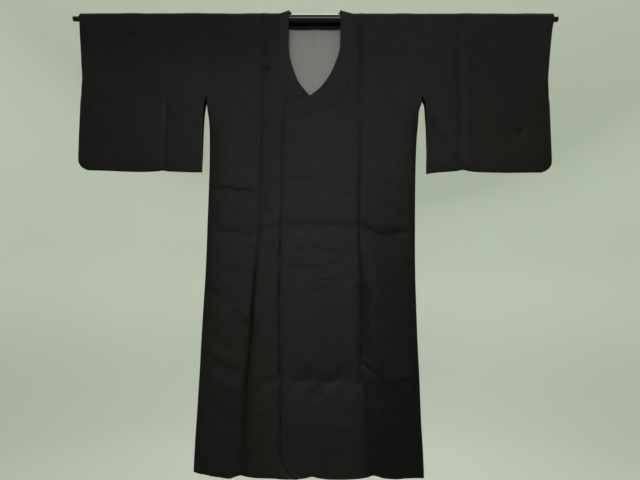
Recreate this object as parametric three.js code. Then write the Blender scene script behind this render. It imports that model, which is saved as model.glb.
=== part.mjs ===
// A woman's kimono coat with a curved V neck, spread over a lacquered rod, front panels lapped.
//
// Millimetres. +X runs along the rod towards the wearer's left, -Y is the front, +Z is up, and the
// origin is at the middle of the rod. A "drop" is a distance below the rod's centre line. Cloth is
// followed by its "run": the length along the cloth from the shoulder ridge, over the rod and down.
import * as THREE from "three";

const { clamp, degToRad, lerp, smoothstep } = THREE.MathUtils;

// ---------------------------------------------------------------------------------------------
// Driving sizes
// ---------------------------------------------------------------------------------------------

const BARREL = { radius: 12.5, halfLength: 667 };
const TENON = { radius: 7.5, halfLength: 687 };
const ROD_CHAMFER = 1.5;
const ROD_SIDES = 24;

const COAT_SHIFT = 5; // the coat hangs this far towards the wearer's left of the rod's middle
const CLOTH = 2;
const COLLAR_CLOTH = 3;
const LINING_CLOTH = 1;
const SEAM = 0.3; // the gap between two pieces along a seam

const WRAP_RADIUS = 14.1; // the middle of the cloth where it passes over the rod
const WRAP_STEPS = 3; // faces in each quarter turn over the rod
const QUARTER = (WRAP_RADIUS * Math.PI) / 2;

const LENGTH = 1237; // nominal drop of the hem
const ARMHOLE = 228; // drop at which sleeve and body part
const SIDE_SEAM = { offset: 1.15, width: 62, shut: 365 };
const OVERLAP = { lift: 3.8, flatFrom: 82, clearOfSeam: 8, startDrop: 110, fullDrop: 220 };
const HEM_CORNER = { across: 64, down: 67 }; // the rounded lower corner of each front panel
const YOKE = { drop: 380, halfWidth: 150, clearOfRod: 16 };

// The body at each drop: side seams, the seams that join body and front panels, the free front
// edges, all as distances from the middle line, and half its depth from front to back.
const SECTIONS = [
  { drop: 0, sideRight: 295.5, sideLeft: 299.2, seamRight: 145, seamLeft: 132, edge: 79, depth: 14.1 },
  { drop: 120, sideRight: 295.5, sideLeft: 299.2, seamRight: 142, seamLeft: 134, edge: 79, depth: 14.1 },
  { drop: 228, sideRight: 295.5, sideLeft: 299.2, seamRight: 141.5, seamLeft: 132, edge: 79, depth: 13.6 },
  { drop: 250, sideRight: 294.5, sideLeft: 297.6, seamRight: 141.5, seamLeft: 132, edge: 79, depth: 13.5 },
  { drop: 275, sideRight: 291.4, sideLeft: 290, seamRight: 141.7, seamLeft: 132, edge: 79, depth: 13.4 },
  { drop: 310, sideRight: 286, sideLeft: 287.8, seamRight: 142, seamLeft: 132.5, edge: 79.5, depth: 13.3 },
  { drop: 350, sideRight: 284.2, sideLeft: 284.4, seamRight: 142.3, seamLeft: 133, edge: 80, depth: 13.2 },
  { drop: 450, sideRight: 281.3, sideLeft: 280.4, seamRight: 144, seamLeft: 132.5, edge: 80, depth: 13 },
  { drop: 590, sideRight: 281, sideLeft: 278.2, seamRight: 143, seamLeft: 131.5, edge: 80, depth: 13 },
  { drop: 660, sideRight: 280.6, sideLeft: 277.6, seamRight: 144, seamLeft: 132.5, edge: 80, depth: 13 },
  { drop: 730, sideRight: 281.1, sideLeft: 278, seamRight: 148, seamLeft: 137, edge: 79.5, depth: 13.2 },
  { drop: 800, sideRight: 282.8, sideLeft: 279.6, seamRight: 151, seamLeft: 140.5, edge: 79, depth: 13.4 },
  { drop: 900, sideRight: 285, sideLeft: 282.6, seamRight: 154.5, seamLeft: 141.5, edge: 76, depth: 13.8 },
  { drop: 985, sideRight: 286.2, sideLeft: 286.3, seamRight: 161, seamLeft: 134.5, edge: 72.5, depth: 14.2 },
  { drop: 1040, sideRight: 287.5, sideLeft: 288.2, seamRight: 163, seamLeft: 151.5, edge: 70, depth: 14.8 },
  { drop: 1100, sideRight: 288.9, sideLeft: 290, seamRight: 164, seamLeft: 155.5, edge: 67.5, depth: 15.4 },
  { drop: 1160, sideRight: 290.6, sideLeft: 293.3, seamRight: 166, seamLeft: 159.5, edge: 66, depth: 16 },
  { drop: 1237, sideRight: 291.5, sideLeft: 296, seamRight: 168, seamLeft: 168.5, edge: 65, depth: 17 },
];

// The hem's drop across the front, as it hangs.
const HEM = [
  { x: -290, drop: 1232 },
  { x: -255, drop: 1235 },
  { x: -196, drop: 1243 },
  { x: -168, drop: 1237 },
  { x: -130, drop: 1240 },
  { x: -50, drop: 1241 },
  { x: 11, drop: 1233 },
  { x: 75, drop: 1238 },
  { x: 130, drop: 1236 },
  { x: 163, drop: 1230 },
  { x: 215, drop: 1235 },
  { x: 265, drop: 1232 },
  { x: 292, drop: 1235 },
];

// Drops at which the body and the front panels have a row of faces.
const BODY_DROPS = [
  60, 120, 180, 228, 250, 275, 310, 360, 420, 500, 590, 670, 760, 850, 930, 985, 1012, 1060, 1115,
  1170, 1205, 1225, 1237,
];
const FRONT_CORNER_DROP = 300; // the front panels' top corners, where the collar ends
const REGULAR_DROP = 420; // from here to the hem the columns of faces are evenly spaced

// Each sleeve at each drop: its armhole or free inner edge, its outer edge, and half its depth.
const SLEEVES = [
  { drop: 0, innerRight: 295.8, outerRight: 667.5, innerLeft: 299.5, outerLeft: 666, depth: 14.1 },
  { drop: 40, innerRight: 295.8, outerRight: 664.2, innerLeft: 299.5, outerLeft: 659.3, depth: 14.1 },
  { drop: 100, innerRight: 295.8, outerRight: 656.8, innerLeft: 299.5, outerLeft: 651.5, depth: 14.1 },
  { drop: 150, innerRight: 295.8, outerRight: 651.2, innerLeft: 299.5, outerLeft: 645.8, depth: 14.1 },
  { drop: 190, innerRight: 295.8, outerRight: 647, innerLeft: 299.5, outerLeft: 642.6, depth: 13.9 },
  { drop: 228, innerRight: 295.8, outerRight: 652, innerLeft: 299.5, outerLeft: 646.8, depth: 13.7 },
  { drop: 250, innerRight: 301.5, outerRight: 653, innerLeft: 308.5, outerLeft: 648.8, depth: 13.3 },
  { drop: 280, innerRight: 304.6, outerRight: 652.3, innerLeft: 310.3, outerLeft: 648.8, depth: 12.6 },
  { drop: 320, innerRight: 305.3, outerRight: 651.5, innerLeft: 312.4, outerLeft: 648.8, depth: 11.4 },
  { drop: 380, innerRight: 304.5, outerRight: 649.5, innerLeft: 312.9, outerLeft: 649, depth: 8.6 },
  { drop: 418, innerRight: 303.8, outerRight: 648, innerLeft: 311.5, outerLeft: 648.6, depth: 6 },
  { drop: 444, innerRight: 303.2, outerRight: 646, innerLeft: 310.5, outerLeft: 647, depth: 3 },
];
const SLEEVE_DROPS = [60, 120, 185, 212, 228, 250, 278, 320, 370, 413, 430, 440];
const SLEEVE_ACROSS = [0, 0.1, 0.2, 0.27, 0.3, 0.325, 0.35, 0.4, 0.52, 0.66, 0.8, 0.92, 0.965, 1];
const SLEEVE = { bottomRight: 444, bottomLeft: 440, corner: 30 };
const CUFF = { shutFrom: 190, shutBy: 235, offset: 1.6, width: 24 };

// The collar's two edges down the front. The right side runs on under the left front.
const COLLAR_LEFT = [
  { inX: 73, inDrop: 18, outX: 106, outDrop: 18 },
  { inX: 73, inDrop: 84, outX: 105.9, outDrop: 88 },
  { inX: 69.2, inDrop: 108, outX: 105.5, outDrop: 120 },
  { inX: 62, inDrop: 131, outX: 104, outDrop: 150 },
  { inX: 49.3, inDrop: 163, outX: 101, outDrop: 175 },
  { inX: 32, inDrop: 193, outX: 96, outDrop: 198 },
  { inX: 16.5, inDrop: 212, outX: 86, outDrop: 222 },
  { inX: 2.5, inDrop: 224, outX: 69, outDrop: 247 },
  { inX: -11, inDrop: 233, outX: 42, outDrop: 267 },
  { inX: -37, inDrop: 242, outX: 5, outDrop: 281 },
  { inX: -60, inDrop: 248, outX: -36, outDrop: 291 },
  { inX: -76, inDrop: 262, outX: -79, outDrop: 300 },
];
const COLLAR_RIGHT = [
  { inX: -71.5, inDrop: 18, outX: -97, outDrop: 18 },
  { inX: -70.6, inDrop: 84, outX: -95, outDrop: 88 },
  { inX: -68.3, inDrop: 112, outX: -94.5, outDrop: 120 },
  { inX: -63, inDrop: 133, outX: -93.5, outDrop: 150 },
  { inX: -53.8, inDrop: 162, outX: -92, outDrop: 175 },
  { inX: -42, inDrop: 190, outX: -90, outDrop: 198 },
  { inX: -29.5, inDrop: 208, outX: -86, outDrop: 222 },
  { inX: -18, inDrop: 222, outX: -75, outDrop: 243 },
  { inX: -7, inDrop: 233, outX: -48, outDrop: 263 },
  { inX: 15, inDrop: 243, outX: -12, outDrop: 278 },
  { inX: 46, inDrop: 250, outX: 32, outDrop: 290 },
  { inX: 76, inDrop: 262, outX: 79, outDrop: 300 },
];

// The collar from the shoulder ridge to the middle of the back. "span" is a share of the neck's
// half width, "run" the neckline's distance from the ridge, and inY, inZ place the standing edge.
const NECKLINE = [
  { outSpan: 1, run: 0, inSpan: 0.985, inY: 0, inZ: 25 },
  { outSpan: 0.99, run: QUARTER / 3, inSpan: 0.96, inY: 6.5, inZ: 24.6 },
  { outSpan: 0.975, run: (2 * QUARTER) / 3, inSpan: 0.9, inY: 11.8, inZ: 22.5 },
  { outSpan: 0.95, run: QUARTER, inSpan: 0.8, inY: 14.6, inZ: 20 },
  { outSpan: 0.88, run: QUARTER + 15, inSpan: 0.64, inY: 15, inZ: 17.5 },
  { outSpan: 0.73, run: QUARTER + 25, inSpan: 0.42, inY: 15, inZ: 15.3 },
  { outSpan: 0.45, run: QUARTER + 27, inSpan: 0.21, inY: 15, inZ: 14 },
  { outSpan: 0, run: QUARTER + 26, inSpan: 0, inY: 15, inZ: 13.5 },
];
const COLLAR_RISE = [
  { run: QUARTER, inSpan: 1, inY: -14.6, inZ: -1 },
  { run: (2 * QUARTER) / 3, inSpan: 1, inY: -13.4, inZ: 12.5 },
  { run: QUARTER / 3, inSpan: 0.995, inY: -7.5, inZ: 21.5 },
];
const COLLAR_CELLS = 3;
const COLLAR_STEEP = 0.93; // beyond this share of the neck's half width the collar's seam is steep

// The largest folds: a ridge where height is positive and a trough where it is negative, along the
// line from (x, drop) to (toX, toDrop). "width" is how far it spreads to each side.
const FRONT_FOLDS = [
  { x: -160, drop: 860, toX: -168, toDrop: 1240, width: 17, height: -5 },
  { x: 139, drop: 760, toX: 142, toDrop: 925, width: 15, height: -4 },
  { x: 158, drop: 1095, toX: 168, toDrop: 1240, width: 17, height: -5 },
  { x: -66, drop: 985, toX: 122, toDrop: 984, width: 16, height: -1.6 },
  { x: -60, drop: 1012, toX: 140, toDrop: 1012, width: 18, height: 1 },
  { x: 176, drop: 992, toX: 281, toDrop: 984, width: 15, height: -1.6 },
  { x: 176, drop: 958, toX: 281, toDrop: 956, width: 16, height: 1.2 },
  { x: 152, drop: 604, toX: 268, toDrop: 604, width: 15, height: -1.8 },
  { x: -75, drop: 590, toX: 125, toDrop: 592, width: 14, height: -1.4 },
  { x: -275, drop: 606, toX: -141, toDrop: 612, width: 14, height: -1.6 },
];
const BACK_FOLDS = [
  { x: -150, drop: 760, toX: -172, toDrop: 1240, width: 22, height: -4.5 },
  { x: 138, drop: 690, toX: 160, toDrop: 1240, width: 22, height: -4.5 },
  { x: -80, drop: 980, toX: -84, toDrop: 1240, width: 26, height: 3 },
  { x: 76, drop: 900, toX: 82, toDrop: 1240, width: 26, height: 3 },
  { x: -270, drop: 600, toX: 265, toDrop: 606, width: 14, height: -2 },
];
const SLEEVE_FOLDS = {
  right: [
    { x: 418, drop: 215, toX: 418, toDrop: 443, width: 8, height: 2 },
    { x: 407, drop: 215, toX: 407, toDrop: 443, width: 9, height: -2.2 },
  ],
  left: [
    { x: 403, drop: 10, toX: 403, toDrop: 439, width: 10, height: -2.4 },
    { x: 413, drop: 10, toX: 413, toDrop: 439, width: 8, height: 2 },
  ],
};

const FINISH = {
  coat: { color: 0x1e201f, roughness: 0.66, metalness: 0 },
  lining: { color: 0x8f8583, roughness: 0.6, metalness: 0 },
  lacquer: { color: 0x0b0b0c, roughness: 0.18, metalness: 0 },
};

// ---------------------------------------------------------------------------------------------
// Reading the tables
// ---------------------------------------------------------------------------------------------

const part = (value) => smoothstep(value, 0, 1);

// 0 at an edge and 1 inside it, along a quarter of an ellipse.
const rounded = (value) => Math.sqrt(1 - (1 - clamp(value, 0, 1)) ** 2);

// One column of a table at a place along its key, on a smooth curve through the rows that never
// passes beyond them.
function read(table, name, at, key = "drop") {
  const last = table.length - 1;
  const place = clamp(at, table[0][key], table[last][key]);
  let i = 0;
  while (i < last - 1 && table[i + 1][key] < place) i++;
  const rise = (row) =>
    (table[row + 1][name] - table[row][name]) / (table[row + 1][key] - table[row][key]);
  const slope = (row) => {
    if (row === 0 || row === last) return 0;
    const [before, after] = [rise(row - 1), rise(row)];
    return before * after > 0 ? (2 * before * after) / (before + after) : 0;
  };
  const step = table[i + 1][key] - table[i][key];
  const t = (place - table[i][key]) / step;
  const start = (1 + 2 * t) * (1 - t) ** 2 * table[i][name];
  const end = t * t * (3 - 2 * t) * table[i + 1][name];
  const leaving = t * (1 - t) ** 2 * step * slope(i);
  const arriving = t * t * (t - 1) * step * slope(i + 1);
  return start + end + leaving + arriving;
}

const sideName = (side) => (side > 0 ? "Left" : "Right");
const neckHalf = (side) => (side > 0 ? COLLAR_LEFT[0].outX : -COLLAR_RIGHT[0].outX);
const standHalf = (side) => (side > 0 ? COLLAR_LEFT[0].inX : -COLLAR_RIGHT[0].inX);

// How far the folds push the cloth out at a place.
function foldHeight(folds, x, drop) {
  let height = 0;
  for (const fold of folds) {
    const along = [fold.toX - fold.x, fold.toDrop - fold.drop];
    const length = Math.hypot(...along);
    const share = ((x - fold.x) * along[0] + (drop - fold.drop) * along[1]) / length ** 2;
    const nearest = clamp(share, 0, 1);
    const away = Math.hypot(x - fold.x - nearest * along[0], drop - fold.drop - nearest * along[1]);
    height += fold.height * Math.exp(-((away / fold.width) ** 2));
  }
  return height;
}

// ---------------------------------------------------------------------------------------------
// Where the cloth hangs
// ---------------------------------------------------------------------------------------------

// A place on hanging cloth, and the way out of it. face is -1 for the front and 1 for the back.
function hang(face, x, run, depthAt, proud = 0) {
  if (run < QUARTER) {
    const turn = run / WRAP_RADIUS;
    const out = new THREE.Vector3(0, face * Math.sin(turn), Math.cos(turn));
    return { at: out.clone().multiplyScalar(WRAP_RADIUS + proud).setX(x), out };
  }
  const drop = run - QUARTER;
  const at = new THREE.Vector3(x, face * (depthAt(x, drop) + proud), -hangingDrop(x, drop));
  return { at, out: new THREE.Vector3(0, face, 0) };
}

// Near the hem the rows follow its line.
function hangingDrop(x, drop) {
  return drop + (read(HEM, "drop", x, "x") - LENGTH) * smoothstep(drop, 0.72 * LENGTH, LENGTH);
}

// Half the body's depth: open above the side slits, drawn together at the side seams below them.
function bodyDepth(x, drop, folds) {
  const open = read(SECTIONS, "depth", drop);
  const side = read(SECTIONS, "side" + sideName(x), drop);
  const inset = (side - Math.abs(x)) / SIDE_SEAM.width;
  const closed = lerp(SIDE_SEAM.offset, open, rounded(inset));
  const shut = smoothstep(drop, ARMHOLE, SIDE_SEAM.shut);
  return lerp(open, closed, shut) + foldHeight(folds, x, drop) * part(inset);
}

const frontDepth = (x, drop) => bodyDepth(x, drop, FRONT_FOLDS);
const backDepth = (x, drop) => bodyDepth(x, drop, BACK_FOLDS);

// The left front stands off the right front where it laps over it.
function lapDepth(x, drop) {
  const seam = read(SECTIONS, "seamLeft", drop) - OVERLAP.clearOfSeam;
  const across = part((seam - x) / (seam - OVERLAP.flatFrom));
  const down = smoothstep(drop, OVERLAP.startDrop, OVERLAP.fullDrop);
  return frontDepth(x, drop) + OVERLAP.lift * across * down;
}

const panelDepth = (side) => (side > 0 ? lapDepth : frontDepth);

// Runs of the rows, from the shoulder ridge to the hem.
const BODY_RUNS = [
  ...Array.from({ length: WRAP_STEPS + 1 }, (_, i) => (QUARTER * i) / WRAP_STEPS),
  ...BODY_DROPS.map((drop) => QUARTER + drop),
];
const REGULAR_RUN = QUARTER + REGULAR_DROP;
const CORNER_RUN = QUARTER + FRONT_CORNER_DROP;

// The run of one row in a column whose top edge lies at topRun. Below REGULAR_RUN all rows agree.
const rowRun = (topRun, run) =>
  run >= REGULAR_RUN ? run : topRun + (run * (REGULAR_RUN - topRun)) / REGULAR_RUN;

// ---------------------------------------------------------------------------------------------
// Cloth walls
// ---------------------------------------------------------------------------------------------

// A wall of even thickness through a grid of places. A missing place leaves its cells out, and a
// looped grid joins its last row to its first.
function clothWall(grid, thickness, looped = false) {
  const rows = grid.length;
  const columns = grid[0].length;
  const positions = [];
  const first = grid.map((row) =>
    row.map((place) => {
      if (!place) return -1;
      for (const reach of [thickness / 2, -thickness / 2]) {
        positions.push(...place.at.clone().addScaledVector(place.out, reach).toArray());
      }
      return positions.length / 3 - 2;
    }),
  );
  const triangles = [];
  const edges = new Map();
  const quad = (a, b, c, d) => triangles.push(a, b, c, a, c, d);
  for (let r = 0; r < (looped ? rows : rows - 1); r++) {
    const next = (r + 1) % rows;
    for (let c = 0; c < columns - 1; c++) {
      const corners = [first[r][c], first[r][c + 1], first[next][c + 1], first[next][c]];
      if (corners.some((corner) => corner < 0)) continue;
      const [a, b, d, e] = corners;
      quad(a, b, d, e);
      quad(a + 1, e + 1, d + 1, b + 1);
      corners.forEach((from, k) => {
        const to = corners[(k + 1) % 4];
        if (!edges.delete(to + ">" + from)) edges.set(from + ">" + to, [from, to]);
      });
    }
  }
  for (const [from, to] of edges.values()) quad(to, from, from + 1, to + 1);
  const geometry = new THREE.BufferGeometry();
  geometry.setAttribute("position", new THREE.Float32BufferAttribute(positions, 3));
  geometry.setIndex(facingOut(positions, triangles));
  geometry.computeVertexNormals();
  return geometry;
}

// The triangles, turned round if they enclose a negative volume.
function facingOut(positions, triangles) {
  const corner = (i) => new THREE.Vector3().fromArray(positions, 3 * i);
  let volume = 0;
  for (let i = 0; i < triangles.length; i += 3) {
    const [a, b, c] = triangles.slice(i, i + 3).map(corner);
    volume += a.dot(b.cross(c));
  }
  return volume < 0 ? triangles.reverse() : triangles;
}

// ---------------------------------------------------------------------------------------------
// The pieces
// ---------------------------------------------------------------------------------------------

// The rod: a round barrel with a tenon at each end.
function rodGeometry() {
  const half = [
    [0, -TENON.halfLength],
    [TENON.radius - ROD_CHAMFER, -TENON.halfLength],
    [TENON.radius, -TENON.halfLength + ROD_CHAMFER],
    [TENON.radius, -BARREL.halfLength],
    [BARREL.radius - ROD_CHAMFER, -BARREL.halfLength],
    [BARREL.radius, -BARREL.halfLength + ROD_CHAMFER],
  ];
  const other = half.map(([radius, along]) => [radius, -along]).reverse();
  const profile = [...half, ...other].map(([radius, along]) => new THREE.Vector2(radius, along));
  return new THREE.LatheGeometry(profile, ROD_SIDES).rotateZ(-Math.PI / 2);
}

// One side of the body, cut in one piece: the side of the front, the shoulder and half the back.
function bodyGeometry(side) {
  const name = sideName(side);
  const neck = NECKLINE.toReversed();
  const shoulder = [0.5, 1]; // columns between neck and panel seam, as shares
  const strip = [0.2, 0.4, 0.58, 0.74, 0.87, 0.96, 1]; // columns between panel seam and side seam
  const seamColumn = neck.length + shoulder.length - 1;
  const columns = seamColumn + strip.length + 1;

  const place = (face, column, run) => {
    const drop = Math.max(run - QUARTER, 0);
    const seam = read(SECTIONS, "seam" + name, drop) + (face < 0 ? SEAM / 2 : 0);
    const edge = read(SECTIONS, "side" + name, drop);
    if (column > seamColumn) {
      const x = lerp(seam, edge, strip[column - seamColumn - 1]);
      return hang(face, side * x, run, face < 0 ? frontDepth : backDepth);
    }
    if (face < 0) return column === seamColumn ? hang(face, side * seam, run, frontDepth) : null;
    const inNeck = column < neck.length;
    const top = inNeck ? neck[column].run + SEAM : column === seamColumn ? 0 : SEAM;
    const neckEdge = neckHalf(side) + SEAM;
    const topX = inNeck
      ? neck[column].outSpan * neckEdge
      : lerp(neckEdge, seam, shoulder[column - neck.length]);
    const down = rowRun(top, run);
    const x = lerp(topX, (seam * column) / seamColumn, part(run / REGULAR_RUN));
    return hang(face, side * Math.max(x, SEAM / 2), down, backDepth);
  };

  const across = Array.from({ length: columns }, (_, column) => column);
  const front = BODY_RUNS.slice(1).reverse();
  return clothWall(
    [
      ...front.map((run) => across.map((column) => place(-1, column, run))),
      ...BODY_RUNS.map((run) => across.map((column) => place(1, column, run))),
    ],
    CLOTH,
  );
}

// The places along a panel's top edge: the collar's seam from the front edge up, then the ridge.
function panelTop(side) {
  const rows = side > 0 ? COLLAR_LEFT : COLLAR_RIGHT;
  const neckEdge = neckHalf(side) + SEAM;
  const seamX = read(SECTIONS, "seam" + sideName(side), 0) - SEAM / 2;
  return [
    ...rows.toReversed().map((row) => ({
      x: side * row.outX + SEAM,
      run: QUARTER + row.outDrop + SEAM,
    })),
    ...COLLAR_RISE.map((row) => ({ x: neckEdge, run: row.run })),
    { x: neckEdge, run: SEAM / 2 },
    { x: lerp(neckEdge, seamX, 0.5), run: SEAM / 2 },
    { x: seamX, run: SEAM / 2 },
  ];
}

// The free front edge, with its rounded lower corner.
function freeEdge(drop) {
  const cornerTop = LENGTH - HEM_CORNER.down;
  const edge = read(SECTIONS, "edge", drop);
  if (drop <= cornerTop) return edge;
  const down = (drop - cornerTop) / HEM_CORNER.down;
  return edge - HEM_CORNER.across * (1 - Math.sqrt(Math.max(1 - down ** 2, 0)));
}

// A front panel, from its free edge beyond the middle to its seam with the body.
function panelGeometry(side) {
  const top = panelTop(side);
  const depth = panelDepth(side);
  const seamAt = (run) => {
    return read(SECTIONS, "seam" + sideName(side), Math.max(run - QUARTER, 0)) - SEAM / 2;
  };
  const last = top.length - 1;
  const steepFrom = COLLAR_STEEP * neckHalf(side);
  const high = top.findIndex((start) => start.x > steepFrom);
  const place = (column, run) => {
    const start = top[column];
    if (column === last) return hang(-1, side * seamAt(run), Math.max(run, start.run), depth);
    const down = rowRun(start.run, run);
    const drop = Math.max(down - QUARTER, 0);
    const even = lerp(-freeEdge(drop), seamAt(down), column / last);
    if (column === 0) return hang(-1, side * even, down, depth);
    const spread = lerp(steepFrom, seamAt(down), (column - high + 1) / (last - high + 1));
    const passed = part((down - start.run) / (CORNER_RUN - start.run));
    const fanned = column < high ? start.x : lerp(start.x, Math.max(spread, start.x), passed);
    const settled = part((down - CORNER_RUN) / (REGULAR_RUN - CORNER_RUN));
    return hang(-1, side * lerp(fanned, even, settled), down, depth);
  };
  const grid = BODY_RUNS.map((run) => top.map((_, column) => place(column, run)));
  return clothWall(grid, CLOTH);
}

// The collar band, from the end of the right front, round the neck, to the end of the left front.
function collarGeometry() {
  const proud = (COLLAR_CLOTH - CLOTH) / 2;
  const front = (side, row) => {
    const depth = panelDepth(side);
    return {
      inner: hang(-1, row.inX, QUARTER + row.inDrop, depth, proud),
      outer: hang(-1, row.outX, QUARTER + row.outDrop, depth, proud),
    };
  };
  const round = (side, face, row, span) => {
    const outer = hang(face, side * span * neckHalf(side), row.run, backDepth, proud);
    const at = new THREE.Vector3(side * row.inSpan * standHalf(side), row.inY, row.inZ);
    return { inner: { at, out: outer.out }, outer };
  };
  const half = (side, rows) => [
    ...rows.toReversed().map((row) => front(side, row)),
    ...COLLAR_RISE.map((row) => round(side, -1, row, 1)),
    ...NECKLINE.map((row) => round(side, 1, row, row.outSpan)),
  ];
  const sections = [...half(-1, COLLAR_RIGHT), ...half(1, COLLAR_LEFT).reverse().slice(1)];
  const grid = sections.map(({ inner, outer }) =>
    Array.from({ length: COLLAR_CELLS + 1 }, (_, i) => ({
      at: inner.at.clone().lerp(outer.at, i / COLLAR_CELLS),
      out: outer.out,
    })),
  );
  return clothWall(grid, COLLAR_CLOTH);
}

// A sleeve: a tube over the rod with a folded bottom, open at the armhole, under the arm and at the
// cuff, and seamed below the cuff to a rounded corner.
function sleeveGeometry(side) {
  const name = sideName(side);
  const folds = SLEEVE_FOLDS[name.toLowerCase()];
  const bottom = SLEEVE["bottom" + name];
  const outerEdge = (drop) => {
    const below = Math.max(drop - (bottom - SLEEVE.corner), 0);
    const round = SLEEVE.corner - Math.sqrt(Math.max(SLEEVE.corner ** 2 - below ** 2, 0));
    return read(SLEEVES, "outer" + name, drop) - round;
  };
  const depthAt = (x, drop) => {
    const open = read(SLEEVES, "depth", drop);
    const inside = part((outerEdge(drop) - x) / CUFF.width);
    const closed = lerp(CUFF.offset, open, inside);
    const shut = smoothstep(drop, CUFF.shutFrom, CUFF.shutBy);
    return lerp(open, closed, shut) + foldHeight(folds, x, drop) * part(open / WRAP_RADIUS) * inside;
  };
  const xAt = (share, drop) => lerp(read(SLEEVES, "inner" + name, drop), outerEdge(drop), share);

  const ring = (share) => {
    const hung = (face, drop) => {
      const x = xAt(share, drop);
      const out = new THREE.Vector3(0, face, 0);
      return { at: new THREE.Vector3(side * x, face * depthAt(x, drop), -drop), out };
    };
    const over = (turn) => {
      const out = new THREE.Vector3(0, Math.sin(turn), Math.cos(turn));
      return { at: out.clone().multiplyScalar(WRAP_RADIUS).setX(side * xAt(share, 0)), out };
    };
    const lastDrop = SLEEVE_DROPS.at(-1) - (SLEEVE.bottomRight - bottom);
    const drops = [...SLEEVE_DROPS.slice(0, -1).filter((drop) => drop < lastDrop - 2), lastDrop];
    const lastX = xAt(share, lastDrop);
    const lastDepth = depthAt(lastX, lastDrop);
    const under = (turn) => {
      const out = new THREE.Vector3(0, Math.sin(turn), -Math.cos(turn));
      const at = new THREE.Vector3(side * xAt(share, bottom), lastDepth * out.y, 0);
      at.z = -lastDrop - (bottom - lastDrop) * Math.cos(turn);
      return { at, out };
    };
    const wrap = [-90, -60, -30, 0, 30, 60, 90].map((turn) => over(degToRad(turn)));
    return [
      ...drops.map((drop) => hung(1, drop)),
      ...[45, 0, -45].map((turn) => under(degToRad(turn))),
      ...drops.toReversed().map((drop) => hung(-1, drop)),
      ...wrap,
    ];
  };
  const rings = SLEEVE_ACROSS.map(ring);
  const grid = rings[0].map((_, row) => rings.map((places) => places[row]));
  return clothWall(grid, CLOTH, true);
}

// One side of the yoke lining, inside the back below the collar.
function liningGeometry(side) {
  const neck = NECKLINE.toReversed();
  const shares = [0, 0.12, 0.28, 0.46, 0.64, 0.82, 1];
  const proud = -(CLOTH / 2 + SEAM + LINING_CLOTH / 2);
  const columns = [...neck.map((row) => row.outSpan * neckHalf(side)), YOKE.halfWidth];
  const grid = shares.map((share) =>
    columns.map((x, column) => {
      const neckRun = neck[Math.min(column, neck.length - 1)].run + SEAM;
      const top = Math.max(neckRun, QUARTER + YOKE.clearOfRod);
      const even = (YOKE.halfWidth * column) / (columns.length - 1);
      const across = Math.max(lerp(x, even, part(share)), SEAM / 2);
      return hang(1, side * across, lerp(top, QUARTER + YOKE.drop, share), backDepth, proud);
    }),
  );
  return clothWall(grid, LINING_CLOTH);
}

// ---------------------------------------------------------------------------------------------
// The coat on its rod
// ---------------------------------------------------------------------------------------------

function piece(name, geometry, finish) {
  const mesh = new THREE.Mesh(geometry, new THREE.MeshStandardMaterial(finish));
  mesh.name = name;
  return mesh;
}

const coat = new THREE.Group();
coat.position.x = COAT_SHIFT;
for (const [hand, side] of [["right", -1], ["left", 1]]) {
  coat.add(piece(hand + "_body", bodyGeometry(side), FINISH.coat));
  coat.add(piece(hand + "_front_panel", panelGeometry(side), FINISH.coat));
  coat.add(piece(hand + "_sleeve", sleeveGeometry(side), FINISH.coat));
  coat.add(piece(hand + "_back_lining", liningGeometry(side), FINISH.lining));
}
coat.add(piece("collar", collarGeometry(), FINISH.coat));

const hungCoat = new THREE.Group();
hungCoat.add(coat);
hungCoat.add(piece("rod", rodGeometry(), FINISH.lacquer));

export default hungCoat;
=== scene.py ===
"""A woman's kimono coat with a curved V neck, hung on a lacquered rod.

Cloth shells with their folds, creases and sewing stand for the frame's plain pieces, and a stage
shows them. The coat's tables are in millimetres and in its own frame: x runs from its middle line
towards the wearer's left, a "drop" is a distance below the rod's centre line, and a "run" is a
length along the cloth from the shoulder ridge, over the rod and down.
"""
import math
import random
from collections import namedtuple

import bmesh
import bpy
import numpy as np
from mathutils import Matrix, Vector


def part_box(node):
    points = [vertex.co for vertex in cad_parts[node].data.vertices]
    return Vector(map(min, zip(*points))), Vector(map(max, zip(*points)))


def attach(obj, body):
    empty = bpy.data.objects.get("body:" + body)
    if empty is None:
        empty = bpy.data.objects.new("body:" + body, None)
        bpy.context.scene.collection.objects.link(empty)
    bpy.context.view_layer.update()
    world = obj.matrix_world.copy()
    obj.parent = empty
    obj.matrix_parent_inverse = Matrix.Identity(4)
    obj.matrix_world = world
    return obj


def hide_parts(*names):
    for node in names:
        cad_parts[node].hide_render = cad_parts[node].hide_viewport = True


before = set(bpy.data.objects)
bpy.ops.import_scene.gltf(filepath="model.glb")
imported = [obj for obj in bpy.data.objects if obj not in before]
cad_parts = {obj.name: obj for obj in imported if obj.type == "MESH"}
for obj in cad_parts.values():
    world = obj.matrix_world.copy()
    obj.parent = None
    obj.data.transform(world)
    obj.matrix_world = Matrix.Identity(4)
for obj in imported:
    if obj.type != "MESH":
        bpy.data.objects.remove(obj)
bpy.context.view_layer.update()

bl_info = {
    "name": "Kimono Coat on a Rod",
    "version": (1, 0, 0),
    "blender": (4, 5, 0),
    "location": "View3D > Sidebar > Coat",
    "description": "Makes the cloth, sewing, finishes and stage of a hung kimono coat",
    "category": "Add Mesh",
}

MM = 0.001
BODY = "root"
SIDES = {"right": -1, "left": 1}
FRONT, BACK = -1, 1


def table(columns, *rows):
    """Rows of numbers under named columns."""
    return dict(zip(columns.split(), np.array(rows, float).T))


# ---------------------------------------------------------------------------------------------
# The coat's sizes
# ---------------------------------------------------------------------------------------------

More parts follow.
